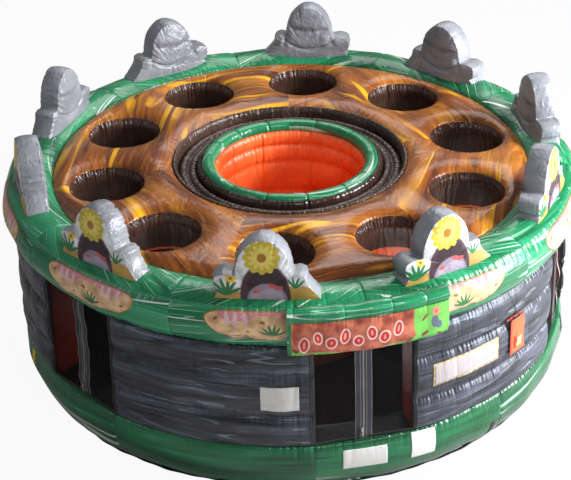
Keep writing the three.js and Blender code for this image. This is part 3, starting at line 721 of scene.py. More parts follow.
def patch(name, place, columns, rows, thickness, material, body="drum", slot=None, print_at=None):
    """A thin strip or label that lies on a skin: place gives its points, and print_at its printed map, for
    shares across and up it"""
    piece, u, v = grid(name, columns, rows)
    write(piece, place(u, v))
    if print_at:
        x, h = print_at(u, v)
        flow_map(piece, "print", lambda point, centre: (x[point], h[point]))
    only(piece)
    wall = piece.modifiers.new("thickness", "SOLIDIFY")
    wall.thickness = thickness
    wall.offset = 0
    bpy.ops.object.modifier_apply(modifier=wall.name)
    turn_out(piece)
    return settle(piece, material, body)


def turned_copy(piece, name, degrees):
    """A copy of a piece with its own mesh, turned about Z"""
    made = piece.copy()
    made.data = piece.data.copy()
    made.name = name
    made.data.name = name
    made.data.transform(Matrix.Rotation(math.radians(degrees), 4, "Z"))
    bpy.context.scene.collection.objects.link(made)
    return made


# Base ring

BASE_FRONT = 18  # steps of the outline on the outer face
BASE_PANEL = 41.8
BASE_SEAMS = [3.1 + BASE_PANEL * k for k in range(-4, 5)]
BASE_FOOT, BASE_SHOULDER, BASE_INNER = 2.09, 2.196, WALL_INNER + 0.002
base = Skin(*closed(
    ((BASE_FOOT, 0.0), 0.07, BASE_FRONT, 2.2),
    ((BASE_SHOULDER, BASE_TOP), -0.004, 5),
    ((BASE_INNER, BASE_TOP), 0.02, 5),
    ((BASE_INNER, FLOOR_TOP), 0, 1),
    ((BASE_INNER, 0.0), 0, 3),
))
base.gather((1, 0.008, 0.06, 0.040, 11), (0, 0.006, 0.05, 0.055, 12), (1, 0.007, 0.13, 0.31, 13, 8))
base.tuck(BASE_SEAMS, 0.012, 0.007, between(-1, BASE_FRONT))
base.reliefs.append(lambda azimuth, along, point:
                    (along < BASE_FRONT) * sway(azimuth, point[:, 1], 0.006, 5, low=5, high=40))


def base_panels(azimuth, length):
    """The print runs nearly level, panel by panel"""
    number = np.floor((azimuth - BASE_SEAMS[0]) / BASE_PANEL)
    return number, 3.0 * np.sin(number * 2.1)


settle(ring("base_ring_skin", base, 1800, panels=base_panels), base_vinyl,
       replaces=["base_ring"])

# Top ring: a front bulge and a top bulge that meet in a groove

RING_FRONT, RING_SHOWN = 20, 38  # steps of the outline on the front, and on the front and top
RING_SEAM = FIRST_HOLE + PITCH / 2
RING_EDGE = RING_INNER + 0.001
top = Skin(*closed(
    ((WALL, RING_FOOT), 0.078, RING_FRONT, 2.2),
    (GROOVE, 0.051, RING_SHOWN - RING_FRONT, 2.2),
    ((RING_EDGE, DECK_EDGE), 0, 4),
    ((RING_EDGE, RING_FOOT), 0, 4),
))
top.gather((0, 0.007, 0.05, 0.042, 21), (1, 0.007, 0.055, 0.045, 22), (2, 0.006, 0.05, 0.050, 23),
           (1, 0.008, 0.12, 0.27, 24, 8), (0, 0.008, 0.14, 0.33, 25, 8))
top.tuck([RING_SEAM + PITCH * k for k in range(HOLES)], 0.010, 0.006, between(-1, RING_SHOWN))
top.reliefs += [
    lambda azimuth, along, point: (along < RING_SHOWN) * sway(azimuth, point[:, 1], 0.006, 6, low=4, high=36),
    # A long soft crease along the ring's front
    lambda azimuth, along, point:
        -0.007 * bump_at(along - 7.5 - 1.2 * np.cos(np.radians(azimuth * 4 + 20)), 0.7),
]


def ring_panels(azimuth, length):
    """The print runs along the ring's front, and aslant on its top"""
    number = np.floor((azimuth - RING_SEAM) / PITCH)
    upper = length > top.lengths[RING_FRONT]
    return number + 20 * upper, np.where(upper, 32 * np.sin(number * 2.4 + 0.6), 4 * np.sin(number * 1.7))


settle(ring("top_ring_skin", top, 1900, panels=ring_panels), green_vinyl,
       replaces=["top_ring"])

# Wall panels: three rows of tubes between the doors

ROW_STARTS, WALL_SHOWN = (0, 16, 36), 52  # steps of the outline where the rows start, and on the outer face
ROW_BULGES = (0.034, 0.038, 0.034)
INNER_BULGE = 0.014


def wall_skin(number):
    """The three rows of tubes between two doors, with gathers at their seams"""
    steps = np.diff([*ROW_STARTS, WALL_SHOWN])
    skin = Skin(*closed(
        *[((WALL, low), bulge, count, 3) for low, bulge, count in zip(ROW_SEAMS, ROW_BULGES, steps)],
        ((WALL, ROW_SEAMS[-1]), 0, 4),
        *[((WALL_INNER, high), INNER_BULGE, 5) for high in ROW_SEAMS[:0:-1]],
        ((WALL_INNER, ROW_SEAMS[0]), 0, 4),
    ))
    seed = 100 + 10 * number
    skin.gather(*[(part, 0.008, 0.055, 0.030, seed + part, 2) for part in (1, 2, 3)],
                (0, 0.004, 0.04, 0.045, seed + 4), (1, 0.007, 0.13, 0.11, seed + 8, 4),
                (2, 0.010, 0.16, 0.23, seed + 5, 7), (3, 0.010, 0.14, 0.26, seed + 6, 7))
    dice = np.random.default_rng(seed + 7)
    start, end = doors_beside(number)
    span = (end - start) % 360
    # Long slanted creases that sag across a row
    sags = [(start + dice.uniform(0.15, 0.7) * span, dice.uniform(9, 14), ROW_STARTS[dice.integers(0, 3)] + 6,
             dice.uniform(3, 6), dice.uniform(0.006, 0.013)) for _ in range(9)]

    def creases(azimuth, along, point):
        total = sway(azimuth, point[:, 1], 0.004, seed, low=6, high=60) * (along < WALL_SHOWN)
        for centre, wide, row, drop, depth in sags:
            across = turned_from(azimuth, centre)
            path = row + drop * across / wide
            total -= depth * bump_at(along - path, 0.9) * bump_at(across, wide, 4)
        return total

    def ends(azimuth, along, point):
        """Draws the bulges in towards the doorways"""
        inwards = np.minimum((azimuth - start) % 360, (end - azimuth) % 360)
        metres = np.radians(inwards) * WALL - DOOR_HALF
        rows = 1 - np.minimum(1, np.maximum(metres, 0) / 0.09) ** 0.5
        return -np.maximum(point[:, 0] - WALL, 0) * rows * 0.75

    skin.reliefs += [creases, ends]
    return skin


def between_doors(number):
    """Azimuths of a wall panel's points, whose ends are parallel to the doors' middles"""
    start, end = doors_beside(number)
    span = (end - start) % 360

    def azimuth_at(share, radius):
        cut = np.degrees(np.arcsin(DOOR_HALF / radius))
        return start + cut + (span - 2 * cut) * share

    return azimuth_at


wall_skins = [wall_skin(number) for number in range(len(DOORS))]
for number, skin in enumerate(wall_skins):
    piece = ring(f"wall_skin_{number + 1}", skin, 260, between_doors(number), 2.3 * number,
                 doors=doors_beside(number))
    settle(piece, charcoal_vinyl, replaces=[f"wall_panel_{number + 1}"])
    # The ends in the doorways are bound in black
    piece.data.materials.append(black_vinyl)
    for face in piece.data.polygons:
        if len(face.vertices) > 20:
            face.material_index = 1
            face.use_smooth = False

# Deck: ten panels, each with a player hole and its gathered brown wall

HOLE_SEAM = 0.296  # radius of the seam between deck and hole wall
HOLE_COLUMNS, TOP_ROWS = 336, 24
PANEL_GAP = 0.00012
DECK_OUTER, DECK_INNER = RING_INNER - 0.0008, ROLL + 0.0008
PRINT_PANEL = 60.4  # the deck's printed cloth is cut in sectors of its own
PRINT_START = -18.3 - 3 * PRINT_PANEL
# Heights of the wall's points, from its foot to the seam of its lip
WALL_HEIGHTS = np.array([1.2925, 1.294, 1.335, 1.352, 1.368, 1.385, 1.40, 1.42, 1.45, 1.48, 1.51, 1.54,
                         1.565, 1.588, 1.606, 1.621, 1.633, 1.642, 1.649])
LIP = 1.655
# On the hole right of the front the orange reaches far past the hem: painted light for the lit pit wall seen
# there
HEM, HEM_WITH_PAINTED_LIGHT = (1.352, 1.368), (1.294, 1.400)  # heights between which a hole's wall is orange
HOLE_CENTRES = [(HOLE_CIRCLE * math.sin(math.radians(a)), -HOLE_CIRCLE * math.cos(math.radians(a)))
                for a in HOLE_ANGLES]
outer_folds = Folds(2 * math.pi * RING_INNER, 0.046, 71)
inner_folds = Folds(2 * math.pi * ROLL, 0.040, 72)
broad_folds = Folds(2 * math.pi * RING_INNER, 0.21, 73)


def deck_top(x, y):
    """Height of the deck's swollen top, which is drawn down at the ring, at the roll and round each hole"""
    radius = np.hypot(x, y)
    azimuth = azimuth_of(x, y)
    from_ring, from_roll = np.maximum(RING_INNER - radius, 0), np.maximum(radius - ROLL, 0)
    flat = np.interp(radius, [ROLL, RING_INNER - 0.11, RING_INNER], [1.684, 1.662, DECK_EDGE - 0.004])
    closeness = np.maximum(from_ring, 0.001) ** -4 + np.maximum(from_roll, 0.001) ** -4
    for cx, cy in HOLE_CENTRES:
        closeness += np.maximum(np.hypot(x - cx, y - cy) - HOLE_SEAM, 0.001) ** -4
    room = np.minimum(closeness ** -0.25 / 0.17, 1)
    height = flat + 0.038 * (1 - (1 - room) ** 2.3)
    angle = np.radians(azimuth % 360)
    height -= 0.006 * outer_folds.at(angle * RING_INNER, from_ring, 0.055)
    height -= 0.006 * inner_folds.at(angle * ROLL, from_roll, 0.05)
    height -= 0.007 * broad_folds.at(angle * RING_INNER, from_ring, 0.13, 7)
    return height + sway(azimuth, radius, 0.005, 7, low=3, high=24) * room


def panel_turns():
    """Directions from the hole's middle, with the panel's four corners among them, as many to a side as its
    share of the turn"""
    half = math.radians(PITCH / 2)
    corners = [(radius * math.sin(side * half), -radius * math.cos(half))
               for radius, side in ((DECK_OUTER, -1), (DECK_OUTER, 1), (DECK_INNER, 1), (DECK_INNER, -1))]
    corner_turns = np.unwrap([math.atan2(y + HOLE_CIRCLE, x) for x, y in corners])
    corner_turns = np.append(corner_turns, corner_turns[0] + 2 * math.pi)
    parts = np.round((corner_turns - corner_turns[0]) / (2 * math.pi) * HOLE_COLUMNS)
    return np.interp(np.arange(HOLE_COLUMNS + 1), parts, corner_turns)


def to_panel_edge(way):
    """How far it is from the hole's middle to the panel's edge: the ring, the roll or a seam beside it"""
    never = 9
    b = -HOLE_CIRCLE * way[:, 1]
    reach = -b + np.sqrt(b**2 - HOLE_CIRCLE**2 + DECK_OUTER**2)
    root = b**2 - HOLE_CIRCLE**2 + DECK_INNER**2
    nearer = np.where(root > 0, -b - np.sqrt(np.maximum(root, 0)), never)
    reach = np.minimum(reach, np.where(nearer > 0, nearer, never))
    half = math.radians(PITCH / 2)
    room = HOLE_CIRCLE * math.sin(half) - PANEL_GAP
    for side in (-1, 1):
        slope = way @ np.array([side * math.cos(half), math.sin(half)])
        reach = np.minimum(reach, np.where(slope > 1e-6, room / np.maximum(slope, 1e-6), never))
    return reach


def deck_panel(number):
    """One panel with its hole and the hole's wall, as rings of points from the wall's foot out"""
    turns = panel_turns()
    way = np.stack([np.cos(turns), np.sin(turns)], 1)
    reach = to_panel_edge(way)
    place = turns * HOLE
    wide = Folds(2 * math.pi * HOLE, 0.075, 400 + number)
    fine = Folds(2 * math.pi * HOLE, 0.032, 420 + number)
    foot = Folds(2 * math.pi * HOLE, 0.05, 440 + number)

    # The wall from its foot up: how far it stands in from the seam, and its gathers
    down = LIP - WALL_HEIGHTS
    wall_in = 0.012 * (1 - np.abs(2 * down / down[0] - 1) ** 5) + 0.017 * bump_at(down - 0.07, 0.045)
    depth = down[:, None]
    wall_r = HOLE_SEAM - wall_in[:, None] + 0.013 * wide.at(place, depth, 0.3, 4)
    wall_r = wall_r + 0.017 * fine.at(place, depth, 0.10) * (1 - np.exp(-depth / 0.012))
    wall_r = wall_r + 0.006 * foot.at(place, down[0] - depth, 0.06)
    wall_r = np.minimum(wall_r, HOLE - 0.001)

    # The top from the lip out to the panel's edge, and the underside back to the wall's foot
    rim_r = HOLE_SEAM + 0.0012 * fine.at(place, 0.0, 0.07)
    shares = (np.arange(TOP_ROWS + 1) / TOP_ROWS)[:, None] ** 1.35
    top_r = rim_r + (reach - rim_r) * shares
    underside = [reach, reach, (reach + HOLE) / 2, np.full_like(reach, HOLE)]
    radius = np.concatenate([wall_r, top_r, underside])
    x = radius * way[:, 0]
    y = radius * way[:, 1] - HOLE_CIRCLE
    on_top = slice(len(WALL_HEIGHTS), -4)
    distance = top_r - rim_r
    rise = deck_top(*facing(HOLE_ANGLES[number], x[on_top], y[on_top], 0).T[:2].transpose(0, 2, 1))
    rise -= (1 - shares**3) * (0.003 * fine.at(place, distance, 0.035) +
                               0.004 * wide.at(place, distance, 0.09, 5))
    rise -= 0.012 * np.exp(-distance / 0.010)
    height = np.zeros(radius.shape)
    height[:len(WALL_HEIGHTS)] = WALL_HEIGHTS[:, None]
    height[on_top] = rise
    height[-4:] = np.array([1.45, DECK_LOW, DECK_LOW, DECK_LOW])[:, None]
    rows = len(radius)

    piece, across, up = grid(f"deck_skin_{number + 1}", HOLE_COLUMNS, rows)
    column = np.rint(across * HOLE_COLUMNS).astype(int)
    row = np.rint(up * rows).astype(int) % rows
    column[column == HOLE_COLUMNS] = 0
    points = facing(HOLE_ANGLES[number], x[row, column], y[row, column], height[row, column])
    write(piece, points)

    def flow(point, centre):
        panel = np.floor((azimuth_of(centre[:, 0], centre[:, 1]) - PRINT_START) / PRINT_PANEL)
        middle = np.radians(PRINT_START + PRINT_PANEL * (panel + 0.5))
        px, py = points[point, 0], points[point, 1]
        sideways = px * np.cos(middle) + py * np.sin(middle)
        outwards = px * np.sin(middle) - py * np.cos(middle)
        return panel_flow(sideways, outwards, panel, 12 * np.sin(panel * 2.2))

    flow_map(piece, "flow", flow)
    sew(piece)
    settle(piece, earth_vinyl, replaces=[f"deck_panel_{number + 1}"], crisp=60)
    # Brown vinyl from the lip's seam down, a narrow orange hem, and below it black, painted shade for the
    # dark inside; on the hole right of the front, orange painted light for the lit pit wall covers that black
    for material in (hole_vinyl, orange_vinyl, black_vinyl):
        piece.data.materials.append(material)
    centre = face_centres(piece)
    cx, cy = HOLE_CENTRES[number]
    edge = np.where(centre[:, 2] > 1.64, HOLE_SEAM + 0.0005, HOLE)
    inside = np.hypot(centre[:, 0] - cx, centre[:, 1] - cy) < edge
    orange_low, orange_high = HEM_WITH_PAINTED_LIGHT if number == 1 else HEM
    # Index 3 is the black painted shade at the wall's foot, 2 the orange hem and, on one hole, orange painted
    # light
    low = np.where(centre[:, 2] < orange_low, 3, np.where(centre[:, 2] < orange_high, 2, 1))
    index = np.where(inside & (centre[:, 2] > 1.2926), low, 0)
    piece.data.polygons.foreach_set("material_index", index.astype(np.int32))


for number in range(HOLES):
    deck_panel(number)

# Centre: the deck's gathered inner wall, mesh moat in two swollen bands, collar, rim, pit wall and pit floor

ROLL_SEAM, ROLL_MOUTH = (ROLL - 0.001, 1.680), (0.9005, 1.578)  # radii and heights where its round part ends
ROLL_FOOT, ROLL_FOOT_IN = (ROLL - 0.001, DECK_LOW), (0.908, DECK_LOW)
roll = Skin(
    swell(ROLL_FOOT, ROLL_SEAM, 0, 3),
    curve([ROLL_SEAM, (0.9430, 1.691), (0.934, 1.698), (0.922, 1.696), (0.911, 1.683), (0.904, 1.662),
           (0.901, 1.637), (0.900, 1.607), ROLL_MOUTH], 26),
    swell(ROLL_MOUTH, ROLL_FOOT_IN, 0, 3),
    swell(ROLL_FOOT_IN, ROLL_FOOT, 0, 2),
)
roll.gather((1, 0.010, 0.06, 0.036, 31, 2.2), (2, 0.006, 0.07, 0.050, 32, 2.2), (1, 0.009, 0.15, 0.12, 33, 5))
settle(ring("centre_roll_skin", roll, 900), roll_vinyl, replaces=["centre_roll"])

MOAT_OUTER, MOAT_MIDDLE, MOAT_INNER = 0.8985, 0.8230, 0.7478
MOAT_TOP, MOAT_FOOT, MOAT_BULGE = 1.602, 1.595, 0.024
moat = Skin(*closed(
    ((MOAT_OUTER, MOAT_TOP), MOAT_BULGE, 10),
    ((MOAT_MIDDLE, MOAT_TOP), MOAT_BULGE, 10),
    ((MOAT_INNER, MOAT_TOP), 0, 1),
    ((MOAT_INNER, MOAT_FOOT), 0, 2),
    ((MOAT_OUTER, MOAT_FOOT), 0, 1),
))
moat.gather(*[(part, 0.009, 0.035, 0.040, 34 + part, 2.2) for part in (0, 1, 2)])
settle(ring("moat_skin", moat, 600), roll_vinyl, replaces=["moat_mesh"])

RIM_TUCKS = (-164, -138, -116, -95.5, -69, -43.2, -16.3, 10.4, 38, 62, 94.5, 130, 160)
COLLAR_OUTER, COLLAR_LIP, COLLAR_INNER = 0.736, 0.7125, 0.692
COLLAR_TOP, COLLAR_SEAT, COLLAR_FOOT = 1.6745, 1.630, 1.345
collar = Skin(
    curve([(COLLAR_OUTER, COLLAR_FOOT), (0.742, 1.42), (0.7465, 1.50), (0.7475, 1.58), (0.7475, 1.625),
           (0.7435, 1.650), (0.735, 1.665), (0.724, 1.6725), (COLLAR_LIP, COLLAR_TOP)], 24),
    swell((COLLAR_LIP, COLLAR_TOP), (COLLAR_LIP, COLLAR_SEAT), 0, 3),
    swell((COLLAR_LIP, COLLAR_SEAT), (COLLAR_INNER, COLLAR_SEAT - 0.001), 0, 2),
    swell((COLLAR_INNER, COLLAR_SEAT - 0.001), (COLLAR_INNER, COLLAR_FOOT), 0, 3),
    swell((COLLAR_INNER, COLLAR_FOOT), (COLLAR_OUTER, COLLAR_FOOT), 0, 2),
)
collar.gather((1, 0.005, 0.06, 0.036, 41, 2.2), (0, 0.008, 0.3, 0.09, 42, 3))
collar.tuck(RIM_TUCKS, 0.010, 0.007, between(-1, 25))
settle(ring("collar_skin", collar, 760), brown_vinyl, replaces=["pit_collar"])

RIM_OUTER, RIM_INNER, RIM_FOOT = 0.7105, 0.601, 1.632
rim = Skin(
    curve([(RIM_OUTER, RIM_FOOT), (0.711, 1.656), (0.707, 1.678), (0.693, 1.693), (0.668, 1.701),
           (0.637, 1.699), (0.614, 1.685), (0.603, 1.662), (RIM_INNER, RIM_FOOT)], 22),
    swell((RIM_INNER, RIM_FOOT - 0.0005), (RIM_OUTER, RIM_FOOT - 0.0005), 0, 3),
)
rim.gather((0, 0.004, 0.04, 0.035, 51, 2.2), (1, 0.005, 0.05, 0.045, 52, 2.2))
for width, depth in ((0.008, 0.008), (0.05, 0.003)):
    rim.tuck(RIM_TUCKS, width, depth, lambda along: np.minimum(1, np.maximum(0, 21 - along) / 2))
settle(ring("rim_skin", rim, 760), green_vinyl, replaces=["pit_rim"])

PIT_SEAMS = (PIT_TOP - 0.001, 1.507, 1.353, 1.076, 0.799, FLOOR_TOP)
PIT_BULGES = ((0.024, 11), (0.026, 12), (0.026, 14), (0.020, 12), (0.010, 4))  # rise and steps of each tube
PIT_OUTER, PIT_INNER = 0.689, PIT + 0.001
pit = Skin(*closed(
    ((PIT_OUTER, FLOOR_TOP), 0, 4),
    ((PIT_OUTER, PIT_TOP - 0.002), 0, 2),
    *[((PIT_INNER, high), bulge, count) for high, (bulge, count) in zip(PIT_SEAMS, PIT_BULGES)],
    ((PIT_INNER, PIT_SEAMS[-1]), 0, 2),
))
for part, seed in ((2, 61), (3, 62), (4, 63), (5, 64)):
    pit.gather((part, 0.007, 0.06, 0.035, seed, 2.2), (part, 0.006, 0.10, 0.14, seed + 10, 5))
pit.tuck((-157, -128, -99, -70, -40, -10, 20, 50, 80, 108, 132, 163), 0.010, 0.010, between(6, 59))
settle(ring("pit_wall_skin", pit, 800), orange_vinyl, replaces=["pit_wall"])


def padded_floor(name, radius, low, high, crown, spokes, material, node):
    """A round inflated floor with radial seams"""
    rows, columns = 26, 240
    share = np.linspace(0.02, 1, rows)[:, None]
    angle = np.linspace(0, 2 * math.pi, columns, endpoint=False)
    seams = np.abs(np.cos(spokes * angle / 2)) ** 0.35
    top_z = high - crown * share**6 - 0.012 * (1 - seams) * (share < 0.97)
    r = np.concatenate([share, [[1.0], [0.02]]]) * radius * np.ones(columns)
    z = np.concatenate([top_z, np.full((2, columns), low)])
    piece = loft(name, r * np.cos(angle), r * np.sin(angle), z)
    settle(piece, material, replaces=[node])


padded_floor("pit_floor_pad", 0.577, 0.121, 0.832, 0.03, 12, orange_vinyl, "pit_floor")
padded_floor("floor_mat_pad", 1.934, 0.0, 0.119, 0.01, 24, black_vinyl, "floor_mat")

# Rocks: white printed fronts, silver-grey sides and backs, gathered along both seams

ROCK_WIDTH, ROCK_HEIGHT = 0.775, 0.497
ROCK_FOOT, ROCK_MIDDLE, ROCK_ROUND = 1.65, 0.11, 0.36
ROCK_FRONT, ROCK_BACK = -2.160, -1.991
FACE_SHARE = 0.37  # of the way from one pole of the sphere to the other
ROCK_OUTLINE = [
    (-0.5, 0), (-0.47, 0.11), (-0.44, 0.16), (-0.485, 0.22), (-0.485, 0.37), (-0.43, 0.42), (-0.36, 0.43),
    (-0.3, 0.42), (-0.285, 0.58), (-0.24, 0.77), (-0.17, 0.91), (-0.09, 0.985), (-0.02, 1), (0.05, 0.98),
    (0.12, 0.9), (0.19, 0.76), (0.225, 0.56), (0.24, 0.44), (0.3, 0.45), (0.355, 0.42), (0.37, 0.32),
    (0.42, 0.2), (0.49, 0.08), (0.5, 0), (0.47, -0.07), (0.2, -0.08), (0, -0.08), (-0.2, -0.08),
    (-0.47, -0.07),
]


def rock():
    """The first rock, from a sphere: one pole in the middle of its front and one in the middle of its back"""
    corners = [(x * ROCK_WIDTH, z * ROCK_HEIGHT) for x, z in ROCK_OUTLINE + ROCK_OUTLINE[:1]]
    line = curve(corners, 2400) - np.array([0, ROCK_MIDDLE])
    line_angles = np.arctan2(line[:, 1], line[:, 0])
    order = np.argsort(line_angles)
    piece = started("rock_1_skin", bpy.ops.mesh.primitive_uv_sphere_add, segments=256, ring_count=52,
                    radius=1)
    ball = read(piece)
    angle = np.arctan2(ball[:, 1], ball[:, 0])
    share = np.arccos(np.clip(ball[:, 2], -1, 1)) / math.pi
    reach = np.interp(angle, line_angles[order], np.hypot(*line.T)[order], period=2 * math.pi)
    face = np.minimum(share, 1 - share) / FACE_SHARE
    side = np.clip((share - FACE_SHARE) / (1 - 2 * FACE_SHARE), 0, 1)
    spread = np.where(face < 1, 1 - (1 - np.minimum(face, 1)) ** 1.5, 1)
    front, back = share < FACE_SHARE, share > 1 - FACE_SHARE
    between_faces = ~front & ~back

    # Gathers along both seams, the faces' pillow shape and the sides' swelling
    place = (angle + math.pi) * ROCK_ROUND
    fine = Folds(2 * math.pi * ROCK_ROUND, 0.028, 501)
    wide = Folds(2 * math.pi * ROCK_ROUND, 0.11, 502)
    inwards = (1 - spread) * reach

    def gathered(distance, wide_reach):
        return 0.007 * fine.at(place, distance, 0.04) + 0.010 * wide.at(place, distance, wide_reach, 5)

    edge = gathered(inwards, 0.08)
    pillow = 0.022 * (1 - spread ** 3)
    behind = np.where(back, ROCK_BACK + pillow * 1.2 - edge * 1.4, 0)
    depth = np.where(front, ROCK_FRONT - pillow + edge * 0.6, behind)
    depth[between_faces] = ROCK_FRONT + (ROCK_BACK - ROCK_FRONT) * side[between_faces]
    swollen = 0.013 * (1 - np.abs(2 * side - 1) ** 2.2) * between_faces
    swollen -= gathered(np.minimum(side, 1 - side) * 0.15, 0.07) * between_faces
    radius = spread * reach - 0.006 + swollen
    x, h = radius * np.cos(angle), radius * np.sin(angle) + ROCK_MIDDLE

    # On the back a crease across the dome, one that hangs under it, and one beside each lump
    beside = np.clip((h - 0.12) / 0.03, 0, 1) * (h < 0.24)
    from_dome = np.abs(x + 0.02)
    for path, shown in ((h - 0.292 + 0.012 * np.cos(18 * x + 1), np.clip((0.17 - from_dome) / 0.04, 0, 1)),
                        (h - 0.112 - 1.9 * from_dome**2, np.clip((0.21 - from_dome) / 0.02, 0, 1)),
                        (x + 0.232 - 0.25 * (h - 0.17), beside),
                        (x - 0.190 + 0.20 * (h - 0.17), beside)):
        depth = depth - back * 0.022 * shown * bump_at(path, 0.012, 1.6) * np.clip(inwards / 0.03, 0, 1)
        depth = depth + back * 0.007 * shown * bump_at(path - 0.05, 0.035) * np.clip(inwards / 0.05, 0, 1)
    depth = depth + back * 0.004 * np.sin(14 * x + 2) * np.sin(17 * h + 1) * np.clip(inwards / 0.05, 0, 1)

    write(piece, facing(FIRST_HOLE, x, depth, h + ROCK_FOOT))
    flow_map(piece, "print", lambda point, centre: (x[point], h[point]))
    turn_out(piece)
    piece.data.materials.append(rock_vinyl)
    piece.data.materials.append(rock_print)
    centre = face_centres(piece)
    turn = math.radians(FIRST_HOLE)
    outwards = centre[:, 0] * math.sin(turn) - centre[:, 1] * math.cos(turn)
    piece.data.polygons.foreach_set("material_index", (outwards > -ROCK_FRONT - 0.002).astype(np.int32))
    return piece


first_rock = rock()
for number in range(HOLES):
    piece = turned_copy(first_rock, f"rock_{number + 1}_skin", PITCH * number) if number else first_rock
    settle(piece, None, replaces=[f"rock_{number + 1}"])

# Banner: a glossy green roll over a printed sheet. Its outline runs from the foot up the face to the seam,
# over the roll to the hem, and down the back.

BANNER_START, BANNER_SPAN = -1.3, 28.9
BANNER_FACE = 16  # steps of the outline on the face that carries the sheet
BANNER_FOOT, BANNER_SEAM, BANNER_HEM = (2.338, 1.323), (2.374, 1.606), (2.254, 1.660)
banner = Skin(
    curve([BANNER_FOOT, (2.366, 1.334), (2.380, 1.38), (2.385, 1.46), (2.382, 1.56), BANNER_SEAM],
          BANNER_FACE),
    curve([BANNER_SEAM, (2.389, 1.630), (2.388, 1.662), (2.366, 1.690), (2.330, 1.699), (2.288, 1.688),
           BANNER_HEM], 14),
    curve([BANNER_HEM, (2.285, 1.60), (2.300, 1.50), (2.300, 1.40), (2.302, 1.335), BANNER_FOOT], 10),
)
banner.gather((0, 0.004, 0.05, 0.04, 81), (1, 0.004, 0.035, 0.032, 82), (2, 0.005, 0.05, 0.05, 83))
for width, depth, start in ((0.005, 0.004, 8), (0.035, 0.003, 6)):
    banner.tuck((-0.2, 8.55, 16.9, 23.2), width, depth,
                lambda along, start=start: np.interp(along, [start, 15, 30, 32], [0, 1, 1, 0]))
banner.reliefs.append(lambda azimuth, along, point:
                      (along < 30) * sway(azimuth, point[:, 1], 0.0035, 85, low=20, high=90))
banner_skin = ring("banner_pad_skin", banner, 220, lambda share, radius: BANNER_START + BANNER_SPAN * share)
settle(banner_skin, green_vinyl, replaces=["banner_pad"])

# Doors: mesh flaps with zip tapes. The strips of a flap are measured from the zip outwards: name, x from and
# to, z from and to, depth, columns, rows, thickness, share of the net's wave, material and slot

TAPE = (0.4300, 1.3010)
NET_EDGE = DOOR_HALF - 0.001
FLAP_STRIPS = (
    ("mesh", 0.0012, NET_EDGE, 0.4285, 1.3015, 0.0012, 40, 60, 0.0012, 1.0, black_mesh, "black_mesh"),
    ("zip_tape", 0.0012, 0.064, *TAPE, 0.0008, 6, 90, 0.0022, 1.0, grey_tape, "black_mesh"),
    # A black strip over the tape beside the teeth, painted shade of the groove there
    ("tape_groove", 0.0060, 0.0075, *TAPE, -0.0006, 1, 90, 0.0008, 1.0, black_vinyl, "black_mesh"),
    ("zip_teeth", 0.0012, 0.0056, *TAPE, 0.0004, 1, 90, 0.0022, 1.0, pale_tape, "zip_metal"),
    ("tape_stitching_1", 0.0605, 0.0635, *TAPE, -0.0005, 1, 90, 0.0008, 1.0, pale_tape, "black_mesh"),
    ("tape_stitching_2", 0.022, 0.0245, *TAPE, -0.0005, 1, 90, 0.0008, 1.0, pale_tape, "black_mesh"),
    ("side_binding", 0.366, NET_EDGE, 0.4290, 1.3010, 0.0010, 2, 60, 0.0024, 0.3, black_vinyl, "black_mesh"),
    ("foot_binding", 0.0012, DOOR_HALF - 0.002, 0.4290, 0.452, 0.0012, 50, 3, 0.0026, 0.6, black_vinyl,
     "black_mesh"),
)
ZIP_DRIFT = (0.009, 0.0015, 0.004, 0.004, 0.004, 0.004)


def flap_wave(number, x, z):
    """How far a mesh flap's cloth hangs in from its frame"""
    free = np.clip((DOOR_HALF - np.abs(x)) / 0.08, 0, 1) * np.clip((z - 0.43) / 0.05, 0, 1)
    ripple = 0.004 * (1 + np.sin(31 * z + 8 * x)) * (number == 0)
    return free * (0.004 + 0.0035 * np.sin(21 * x + 1.7 * number + 3 * z) * np.cos(4 * z + number) + ripple)


def zip_sway(number, z):
    """A zip that doesn't hang quite straight; both tapes shift alike, and the first door's bows most"""
    bow = 0.013 * np.sin(np.pi * (z - 0.43) / 0.87) * (number == 0)
    shake = np.sin(9 * z + number) + 0.5 * np.sin(19 * z + 2 * number)
    return ZIP_DRIFT[number] * shake * np.clip((1.30 - z) / 0.2, 0, 1) + bow


def flap(number, side, name):
    """One of a door's two flaps: net, zip tape, teeth, stitching and bindings"""
    prefix = f"door_{number + 1}_{name}"
    body = f"{prefix}_flap"
    for part, near, far, low, high, depth, columns, rows, thickness, wave, material, slot in FLAP_STRIPS:
        def place(u, v):
            x = near + (far - near) * u
            z = low + (high - low) * v
            inner = np.clip(1 - (x - 0.001) / 0.25, 0, 1)
            y = -DOOR_PLANE + depth + wave * flap_wave(number, side * x, z)
            return facing(DOORS[number], side * x + zip_sway(number, z) * inner, y, z)

        piece = patch(f"{prefix}_{part}", place, columns, rows, thickness, material, body, slot)
        if part == "mesh":
            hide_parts(body)


for number in range(len(DOORS)):
    flap(number, -1, "left")
    flap(number, 1, "right")


LOOSE_WIDTH, LOOSE_LENGTH = 0.026, 0.62


def loose_tape(u, v):
    """A loose end of pale tape on the third door, bowed outwards"""
    z = 0.50 + LOOSE_LENGTH * v
    x = -0.045 + LOOSE_WIDTH * u + 0.012 * np.sin(9 * z)
    y = -DOOR_PLANE - 0.006 - (0.020 + 0.012 * np.sin(23 * z)) * np.sin(np.pi * v) ** 0.8
    return facing(DOORS[2], x, y, z)


tape = patch("door_3_loose_tape", loose_tape, 4, 70, 0.0015, pale_tape, "door_3_left_flap", "black_mesh")

# Doorways: black binding with a thin grey line along each wall panel's end, an orange-red lining and a black
# sill behind the net

LINING_HALF, LINING_FRONT, LINING_DEEP = 0.3700, -2.160, 0.218
LINING_FOOT, LINING_HIGH = 0.432, 0.868
SILL_HALF, SILL_FRONT, SILL_DEEP, SILL_TOP = 0.36, -2.157, 0.21, 0.4272


